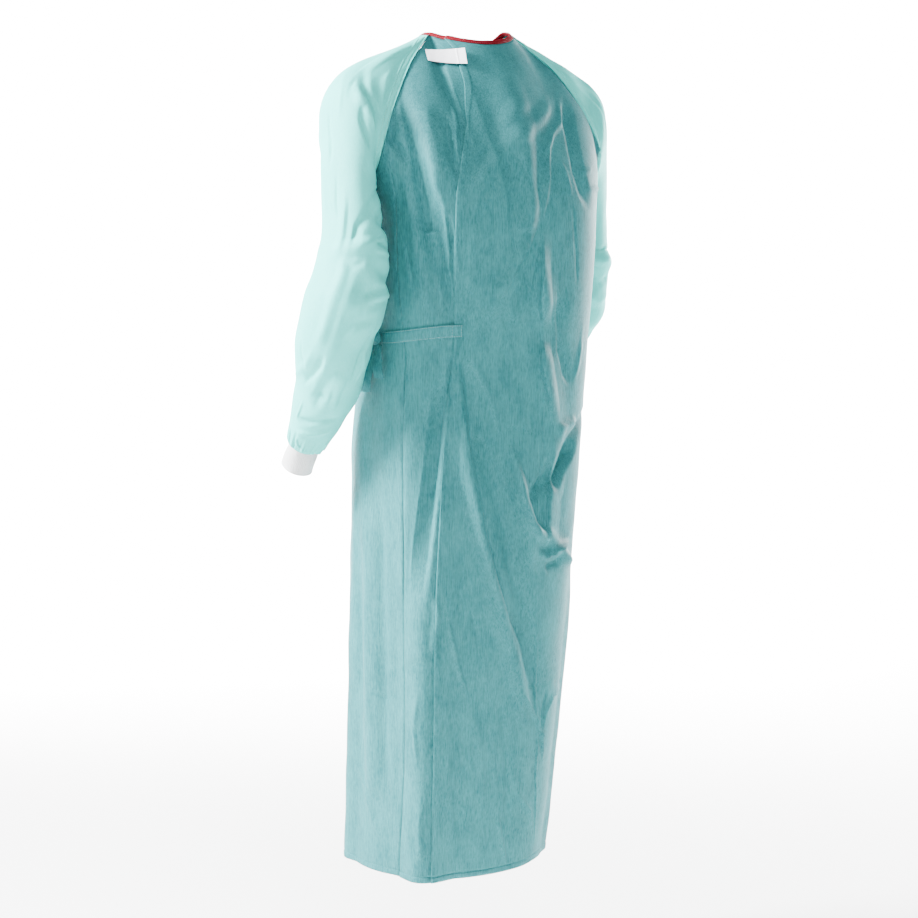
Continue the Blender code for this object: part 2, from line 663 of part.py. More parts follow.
def on_back(angle, level, lift):
    """A point above whichever back panel is outermost, and the direction out of it."""
    edge = line_angle(FREE_EDGE, approximate_down(level))
    covered = smooth_step((angle - edge - LAP_STEP_GAP) / LAP_STEP_TURN)
    normal = body_normal(angle, level)
    drop = underlap_drop(angle, level) * covered
    return body_point(angle, level) + normal * (lift - drop), normal


def tie_down(angle):
    """The height of the ties' middle line: it sinks a little from the back to the left side."""
    return BELT_DOWN + TIE_RISE * (2 * smooth_step((angle - TIE_SEWN_ANGLE) / 45) - 1)


def strip_rows(start, end, count):
    """A tie that lies round the body between two angles."""
    grid = []
    for share in (-0.5, 0.0, 0.5):
        row = []
        for angle in spaced(start, end, count):
            down = tie_down(angle) + TIE_WIDTH * share
            row.append(on_back(angle, level_of(down), TIE_LIFT + TIE_WALL))
        grid.append(row)
    return grid


def tab_rows():
    """The closure tab, across the overlap's edge below the neck."""
    grid = []
    for i in range(4):
        row = []
        for share in spaced(0, 1, TAB_COLUMNS):
            angle, top, bottom = (a + (b - a) * share for a, b in zip(TAB_RIGHT, TAB_LEFT))
            row.append(on_back(angle, top + (bottom - top) * i / 3, TAB_LIFT + TAB_WALL))
        grid.append(row)
    return grid


def collection():
    """The gown's own collection."""
    group = bpy.data.collections.get("surgical_gown") or bpy.data.collections.new("surgical_gown")
    if group.name not in bpy.context.scene.collection.children:
        bpy.context.scene.collection.children.link(group)
    return group


def material(name, colour, roughness):
    """A plain cloth material."""
    made = bpy.data.materials.new(name)
    made.use_nodes = True
    shader = made.node_tree.nodes["Principled BSDF"]
    shader.inputs["Base Color"].default_value = (*colour, 1.0)
    shader.inputs["Roughness"].default_value = roughness
    shader.inputs["Metallic"].default_value = 0.0
    return made


def add_object(name, bm, finish):
    """Put a finished mesh in the gown's collection."""
    bmesh.ops.triangulate(bm, faces=[face for face in bm.faces if len(face.verts) > 4])
    mesh = bpy.data.meshes.new(name)
    bm.to_mesh(mesh)
    bm.free()
    mesh.materials.append(finish)
    mesh.shade_smooth()
    made = bpy.data.objects.new(name, mesh)
    collection().objects.link(made)
    return made


def sheet(name, rows, finish, thickness):
    """A wall of cloth: a grid bent through rows of points, grown inwards along their directions."""
    across, tall = len(rows[0]), len(rows)
    bm = bmesh.new()
    outs = bm.verts.layers.float_vector.new("out")
    bmesh.ops.create_grid(bm, x_segments=across - 1, y_segments=tall - 1, size=0.5)
    for vertex in bm.verts:
        column = round((vertex.co.x + 0.5) * (across - 1))
        row = round((0.5 - vertex.co.y) * (tall - 1))
        vertex.co, vertex[outs] = rows[row][column]
    bmesh.ops.remove_doubles(bm, verts=bm.verts, dist=0.00001)
    everything = list(bm.verts) + list(bm.edges) + list(bm.faces)
    grown = bmesh.ops.extrude_face_region(bm, geom=everything, use_keep_orig=True)
    for item in grown["geom"]:
        if isinstance(item, bmesh.types.BMVert):
            item.co -= item[outs] * thickness
    bmesh.ops.recalc_face_normals(bm, faces=bm.faces)
    return add_object(name, bm, finish)


def swept(name, rows, finish):
    """A closed cross section carried along a path, with both ends closed."""
    bm = bmesh.new()
    rings = [[bm.verts.new(point) for point in row] for row in rows]
    for ring_a, ring_b in zip(rings, rings[1:]):
        for i in range(len(ring_a)):
            j = (i + 1) % len(ring_a)
            bm.faces.new((ring_a[i], ring_a[j], ring_b[j], ring_b[i]))
    for ring in (rings[0], list(reversed(rings[-1]))):
        count = len(ring) // 2
        for i in range(count - 1):
            bm.faces.new((ring[i], ring[2 * count - 1 - i], ring[2 * count - 2 - i], ring[i + 1]))
    bmesh.ops.recalc_face_normals(bm, faces=bm.faces)
    return add_object(name, bm, finish)


def knot(place, finish):
    """The two ties' knot: a soft flattened ball."""
    bm = bmesh.new()
    bmesh.ops.create_icosphere(bm, subdivisions=2, radius=KNOT_SIZE)
    away = outwards(KNOT_ANGLE)
    for vertex in bm.verts:
        flat = vertex.co.dot(away)
        vertex.co -= away * flat * KNOT_FLAT
        vertex.co += place
    made = add_object("tie_knot", bm, finish)
    return made


def hanging_rows(place, lean, length, width):
    """A tie's free end that hangs from the knot."""
    grid = []
    for share in spaced(0, 1, END_ROWS):
        sway = lean * share + Vector((END_BOW, 0, 0)) * math.sin(share * math.pi)
        middle = place + Vector((0, 0, -length * share)) + sway
        half = width / 2 * (END_PINCH + (1 - END_PINCH) * smooth_step(share * 3))
        grid.append([(middle + END_ACROSS * half * t, END_OUT) for t in (-1.0, 0.0, 1.0)])
    return grid


def build():
    """Make every piece."""
    body_cloth = material("body_nonwoven", (0.16, 0.36, 0.38), 0.75)
    sleeve_cloth = material("sleeve_nonwoven", (0.55, 0.78, 0.72), 0.6)
    knit = material("cuff_knit", (0.85, 0.86, 0.86), 0.9)
    crimson = material("neck_bias_strip", (0.42, 0.03, 0.05), 0.7)
    white = material("tab_tape", (0.82, 0.82, 0.86), 0.6)

    for side in (1, -1):
        find_seams(side)
    sheet("front", panel_front(), body_cloth, WALL)
    sheet("back_left", panel_back_left(), body_cloth, WALL)
    sheet("back_right", panel_back_right(), body_cloth, WALL)
    for side, word in ((1, "left"), (-1, "right")):
        sheet("sleeve_" + word, sleeve_rows(side), sleeve_cloth, WALL)
        sheet("cuff_" + word, cuff_rows(side), knit, CUFF_WALL)
    swept("neck_binding", binding_rows(), crimson)
    sheet("neck_tab", tab_rows(), white, TAB_WALL)

    gap = math.degrees(KNOT_SIZE * KNOT_FOOT / ring_point(KNOT_ANGLE, BELT_DOWN).xy.length)
    sheet("tie_back", strip_rows(TIE_SEWN_ANGLE, KNOT_ANGLE - gap, 18), body_cloth, TIE_WALL)
    sheet("tie_front", strip_rows(KNOT_ANGLE + gap, TIE_FRONT_ANGLE, 10), body_cloth, TIE_WALL)
    knot_down = tie_down(KNOT_ANGLE)
    lift = KNOT_SIZE * (1 - KNOT_FLAT) + KNOT_LIFT
    place = ring_point(KNOT_ANGLE, knot_down) + outwards(KNOT_ANGLE) * lift
    knot(place, body_cloth)
    for end in TIE_ENDS:
        start = place + Vector((0.0, end.shift, -end.drop))
        rows = hanging_rows(start, Vector((END_LEAN, end.sway, 0)), end.length, TIE_WIDTH)
        sheet(end.name, rows, body_cloth, TIE_WALL)


for leftover in list(bpy.data.objects):
    bpy.data.objects.remove(leftover, do_unlink=True)
build()
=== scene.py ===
"""A worn surgical gown seen from behind: teal streaky nonwoven body, pale mint raglan sleeves with
white knitted cuffs, a crimson neck strip, a white closure tab, and ties knotted at the left waist.
"""
import math
from collections import namedtuple

import bmesh
import bpy
import numpy as np
from mathutils import Matrix, Vector


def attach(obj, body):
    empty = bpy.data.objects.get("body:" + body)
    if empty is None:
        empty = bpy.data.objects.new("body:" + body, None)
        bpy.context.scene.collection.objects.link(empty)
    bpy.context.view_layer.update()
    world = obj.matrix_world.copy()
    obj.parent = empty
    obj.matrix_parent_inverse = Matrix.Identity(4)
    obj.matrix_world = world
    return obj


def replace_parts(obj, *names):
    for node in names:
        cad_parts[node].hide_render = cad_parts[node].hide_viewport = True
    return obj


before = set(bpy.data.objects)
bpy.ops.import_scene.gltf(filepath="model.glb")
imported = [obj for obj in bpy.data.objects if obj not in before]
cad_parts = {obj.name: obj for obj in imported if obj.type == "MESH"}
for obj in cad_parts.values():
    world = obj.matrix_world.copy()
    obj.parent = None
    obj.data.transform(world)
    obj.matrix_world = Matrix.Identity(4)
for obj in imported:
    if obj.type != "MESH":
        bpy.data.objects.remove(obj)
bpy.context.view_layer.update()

# The front of the gown: one panel of teal nonwoven from side seam to side seam, with a scooped neck
# and slanting raglan edges. It meets every other panel, so the whole body's form stands here: metres
# down from the shoulders, and degrees round it, 0 at the centre back, 90 left, 180 in front.
LENGTH, CHEST = 1.358, 0.32
NECK_RADIUS, NECK_BACK_JOINT, NECK_FRONT_JOINT = 0.080, 75.0, 115.0
SIDE_SLOPE, BACK_SLOPE = 30.0, 52.0
CHEST_BACK_JOINT, CHEST_ARM_BACK, CHEST_ARM_FRONT, CHEST_FRONT_JOINT = 28.0, 71.0, 113.0, 154.0
NECK_BLEND, BACK_SWELL, BELT_DOWN, BELT_CALM = 16.0, 0.55, 0.479, 0.038
METRES_A_DEGREE = 0.0030

Section = namedtuple("Section", "down middle_x middle_y half_width half_depth squareness")
SECTIONS = [
    Section(0.32, -0.006, 0.033, 0.181, 0.150, 3.2),
    Section(0.42, -0.006, 0.030, 0.180, 0.146, 3.1),
    Section(0.485, -0.006, 0.026, 0.178, 0.142, 3.0),
    Section(0.56, -0.004, 0.016, 0.182, 0.148, 2.8),
    Section(0.66, -0.002, 0.004, 0.184, 0.158, 2.6),
    Section(0.80, 0.000, -0.006, 0.181, 0.166, 2.4),
    Section(0.95, 0.004, -0.016, 0.178, 0.168, 2.3),
    Section(1.16, 0.010, -0.028, 0.171, 0.166, 2.2),
    Section(LENGTH, 0.018, -0.038, 0.164, 0.162, 2.1),
]
Line = namedtuple("Line", "down angle")
LEFT_SEAM = [Line(0.18, 71), Line(0.28, 72.5), Line(0.38, 72), Line(0.46, 68.5), Line(0.52, 65),
             Line(0.74, 59.5), Line(1.00, 55), Line(1.16, 53), Line(LENGTH, 54.5)]
RIGHT_SEAM = [Line(0.18, -71), Line(0.485, -70), Line(1.00, -68), Line(LENGTH, -66)]
Point = namedtuple("Point", "x y z")
RAGLAN_BACK = [Point(0.1000, 0.042, -0.026), Point(0.1300, 0.060, -0.058),
               Point(0.1560, 0.075, -0.097), Point(0.1780, 0.087, -0.138), Point(0.1950, 0.096, -0.178)]
UNDERARM = [Point(0.1950, 0.096, -0.178), Point(0.1960, 0.068, -0.224), Point(0.1900, 0.020, -0.246),
            Point(0.1890, -0.028, -0.228), Point(0.1850, -0.058, -0.186)]
RAGLAN_FRONT = [Point(0.1850, -0.058, -0.186), Point(0.1640, -0.072, -0.136),
                Point(0.1360, -0.072, -0.088), Point(0.1040, -0.058, -0.046)]
SHOULDER_SET = 0.008

# Large folds: a line between two places, half width in degrees, and height outwards in metres
Fold = namedtuple("Fold", "down_top angle_top down_end angle_end half_width height")
BODY_FOLDS = [
    Fold(0.62, 47, 1.90, 36, 19, 0.028), Fold(0.14, 61, 0.50, 46, 9, -0.008),
    Fold(0.53, 49, 0.94, 53, 9, -0.010), Fold(0.60, 38, 1.14, -18, 10, 0.010),
    Fold(0.62, 22, 1.16, -32, 10, -0.011), Fold(0.09, -29, 0.28, 38, 9, 0.005),
    Fold(0.24, -10, 0.50, 27, 10, 0.006), Fold(0.34, -11, 0.72, -31, 9, 0.010),
    Fold(0.60, -62, 0.75, -8, 10, -0.014), Fold(0.68, 2, 0.86, -14, 9, 0.009),
    Fold(0.78, -10, 0.87, -50, 10, 0.012), Fold(0.80, -64, 1.60, -58, 12, 0.008),
    Fold(0.55, 96, 1.60, 104, 12, 0.009), Fold(0.58, 128, 1.60, 134, 11, -0.011),
    Fold(0.50, 152, 1.60, 160, 12, 0.012), Fold(0.25, 178, 0.90, 184, 11, -0.008),
    Fold(0.50, 206, 1.60, 198, 12, 0.011), Fold(0.56, 232, 1.60, 226, 11, -0.011),
    Fold(0.60, 258, 1.60, 256, 12, 0.009), Fold(0.20, 150, 0.50, 166, 10, 0.006),
    Fold(0.20, 212, 0.52, 196, 10, 0.006),
]


def soft(value):
    """A soft change from 0 to 1."""
    value = np.clip(value, 0.0, 1.0)
    return value * value * (3 - 2 * value)


def between(start, start_slope, end, end_slope, share):
    """A cubic curve between two places, with their slopes."""
    s2, s3 = share ** 2, share ** 3
    return (start * (2 * s3 - 3 * s2 + 1) + start_slope * (s3 - 2 * s2 + share)
            + end * (3 * s2 - 2 * s3) + end_slope * (s3 - s2))


def on_table(rows, key):
    """The columns of a table at many keys, on a smooth curve; the first column is the key."""
    rows = np.array(rows, float)
    keys, values = rows[:, 0], rows[:, 1:]
    key = np.clip(np.asarray(key, float), keys[0], keys[-1])
    i = np.clip(np.searchsorted(keys, key, side="right") - 1, 0, len(keys) - 2)
    low, high = np.maximum(i - 1, 0), np.minimum(i + 2, len(keys) - 1)
    step = (keys[i + 1] - keys[i])[..., None]
    a, b = values[i], values[i + 1]
    slope_a = (b - values[low]) / (keys[i + 1] - keys[low])[..., None] * step
    slope_b = (values[high] - a) / (keys[high] - keys[i])[..., None] * step
    return between(a, slope_a, b, slope_b, ((key - keys[i])[..., None]) / step)


def along(points, share):
    """Places at shares of a chain of points, on a smooth curve through them."""
    points = np.array(points, float)
    lengths = np.concatenate([[0.0], np.cumsum(np.linalg.norm(np.diff(points, axis=0), axis=1))])
    return on_table(np.column_stack([lengths, points]), np.asarray(share) * lengths[-1])


def unit(vectors):
    """Vectors of length one."""
    return vectors / np.maximum(np.linalg.norm(vectors, axis=-1, keepdims=True), 1e-12)


def away_from_axis(angle):
    """The level direction out of the body at an angle."""
    turn = np.radians(angle)
    return np.stack([np.sin(turn), np.cos(turn), np.zeros_like(turn)], axis=-1)


def neck_edge(angle):
    """Points on the neck seam at angles round the neck."""
    turn = np.radians(np.asarray(angle, float))
    back, front = np.maximum(np.cos(turn), 0.0), np.maximum(-np.cos(turn), 0.0)
    height = -0.0005 - 0.0235 * back ** 1.5 - 0.055 * front ** 1.5 - 0.005 * np.sin(turn)
    return np.stack([NECK_RADIUS * np.sin(turn), NECK_RADIUS * np.cos(turn), height], axis=-1)


def neck_lean(angle):
    """The direction in which the cloth leaves the neck."""
    turn = np.radians(np.asarray(angle, float))
    slope = np.radians(SIDE_SLOPE + (BACK_SLOPE - SIDE_SLOPE) * np.abs(np.cos(turn)) ** 0.7)
    level = np.stack([np.sin(turn), np.cos(turn), np.zeros_like(turn)], axis=-1)
    return level * np.cos(slope)[..., None] - np.array([0, 0, 1.0]) * np.sin(slope)[..., None]


def on_side(points, side):
    """Left hand points, or their mirror image on the right shoulder, which sits further back."""
    points = np.array(points, float)
    shift = 0.0 if side > 0 else SHOULDER_SET * soft((np.abs(points[:, 0]) - NECK_RADIUS) / 0.08)
    return np.column_stack([side * points[:, 0], points[:, 1] + shift, points[:, 2]])


def top_edge(angle):
    """The top of the body at chest angles: neck, raglan seams and armholes."""
    angle = np.asarray(angle, float)
    size, edge = np.abs(angle), np.zeros(np.shape(angle) + (3,))
    for side in (1, -1):
        half = (angle >= 0) if side > 0 else (angle < 0)
        back = neck_edge(np.array([side * NECK_BACK_JOINT]))
        front = neck_edge(np.array([side * NECK_FRONT_JOINT]))
        parts = [
            (size <= CHEST_BACK_JOINT, lambda s: neck_edge(side * s * NECK_BACK_JOINT / CHEST_BACK_JOINT)),
            ((size > CHEST_BACK_JOINT) & (size <= CHEST_ARM_BACK), lambda s: along(
                np.vstack([back, on_side(RAGLAN_BACK, side)]),
                (s - CHEST_BACK_JOINT) / (CHEST_ARM_BACK - CHEST_BACK_JOINT))),
            ((size > CHEST_ARM_BACK) & (size <= CHEST_ARM_FRONT), lambda s: along(
                on_side(UNDERARM, side), (s - CHEST_ARM_BACK) / (CHEST_ARM_FRONT - CHEST_ARM_BACK))),
            ((size > CHEST_ARM_FRONT) & (size < CHEST_FRONT_JOINT), lambda s: along(
                np.vstack([on_side(RAGLAN_FRONT, side), front]),
                (s - CHEST_ARM_FRONT) / (CHEST_FRONT_JOINT - CHEST_ARM_FRONT))),
            (size >= CHEST_FRONT_JOINT, lambda s: neck_edge(side * (
                NECK_FRONT_JOINT + (s - CHEST_FRONT_JOINT) / (180 - CHEST_FRONT_JOINT)
                * (180 - NECK_FRONT_JOINT)))),
        ]
        for where, rule in parts:
            here = half & where
            if here.any():
                edge[here] = rule(size[here])
    return edge


def fold_height(angle, down):
    """How far the large folds push the cloth out or in, calm where the belt holds it."""
    total = np.zeros(np.broadcast(angle, down).shape)
    for fold in BODY_FOLDS:
        share = (down - fold.down_top) / (fold.down_end - fold.down_top)
        middle = fold.angle_top + share * (fold.angle_end - fold.angle_top)
        off = (angle - middle + 180) % 360 - 180
        across = np.cos(np.pi / 2 * np.clip(off / fold.half_width, -1, 1)) ** 2
        total += fold.height * across * soft(share * 4) * soft((1 - share) * 4)
    return total * soft(np.abs(down - BELT_DOWN) / BELT_CALM - 0.4)


def ring_point(angle, down):
    """Points of the body below the chest."""
    middle_x, middle_y, width, depth, square = np.moveaxis(on_table(SECTIONS, down), -1, 0)
    turn = np.radians(angle)
    reach = (np.abs(np.sin(turn) / width) ** square + np.abs(np.cos(turn) / depth) ** square)
    radius = reach ** (-1 / square) + fold_height(angle, down)
    return np.stack([middle_x + radius * np.sin(turn), middle_y + radius * np.cos(turn), -down], axis=-1)


def body_point(angle, level):
    """Points of the body: level 0 is its top edge, 1 the chest, and each further 1 a metre down."""
    angle, level = np.broadcast_arrays(np.asarray(angle, float), np.asarray(level, float))
    points = ring_point(angle, CHEST + np.maximum(level, 1.0) - 1)
    upper = level < 1
    if not upper.any():
        return points
    a, s = angle[upper], level[upper][..., None]
    chest = np.full_like(a, CHEST)
    start, end = top_edge(a), ring_point(a, chest)
    span = np.linalg.norm(end - start, axis=-1, keepdims=True)
    away = away_from_axis(a)
    size = np.minimum(np.abs(a), 360 - np.abs(a))
    arm = soft((size - CHEST_ARM_BACK + 16) / 16) * soft((CHEST_ARM_FRONT + 16 - size) / 16)
    leave = unit(unit(end - start) + BACK_SWELL * (1 - arm)[..., None] * away)
    beyond = (soft((size - CHEST_BACK_JOINT) / NECK_BLEND + 1)
              * soft((CHEST_FRONT_JOINT - size) / NECK_BLEND + 1))[..., None]
    lean = neck_lean(np.degrees(np.arctan2(start[..., 0], start[..., 1])))
    leave = unit(lean * (1 - beyond) + leave * beyond) * span
    arrive = (ring_point(a, chest + 0.01) - end) * 100 * span
    high = between(start, leave, end, arrive, s)
    high = high + away * (fold_height(a, -high[..., 2]) * soft(level[upper] * 2.5))[..., None]
    points = points.copy()
    points[upper] = high
    return points


def body_out(angle, level):
    """The direction out of the cloth."""
    across = body_point(angle + 0.5, level) - body_point(angle - 0.5, level)
    low = np.maximum(level - 0.01, 0.002)
    return unit(np.cross(across, body_point(angle, low + 0.02) - body_point(angle, low)))


def rough_down(level):
    """The height of a level, for the lines that run down the body."""
    return np.where(level < 1, CHEST * level, CHEST + level - 1)


def slid_angle(station, level):
    """A column's angle at a level, as the side seam draws it along below the arm."""
    side = np.where(station >= 0, 1, -1)
    down = rough_down(level)
    seam = np.where(side > 0, on_table(LEFT_SEAM, down)[..., 0], -on_table(RIGHT_SEAM, down)[..., 0])
    seam = CHEST_ARM_BACK + (seam - CHEST_ARM_BACK) * soft((level - 0.5) * 4)
    size = np.abs(station)
    behind = side * size * seam / CHEST_ARM_BACK
    ahead = side * (180 - (180 - size) * (180 - seam) / (180 - CHEST_ARM_BACK))
    return np.where(size <= CHEST_ARM_BACK, behind, ahead)


def panel_levels(upper, lower):
    """Levels of a panel's rows, so many above the chest and so many below it, closer at the hem."""
    end = 1 + LENGTH - CHEST
    hem = end - np.array([0.0140, 0.0112, 0.0104, 0.0098, 0.0092, 0.0084, 0.0060, 0.0030, 0.0])
    return np.concatenate([np.linspace(0, 1, upper + 1)[:-1], np.linspace(1, end - 0.018, lower - 8), hem])


def out_of_grid(points, closed=False):
    """The directions out of a grid of points whose rows run clockwise seen from above."""
    if closed:
        across = np.roll(points, -1, axis=1) - np.roll(points, 1, axis=1)
    else:
        across = np.gradient(points, axis=1)
    return unit(np.cross(across, np.gradient(points, axis=0)))


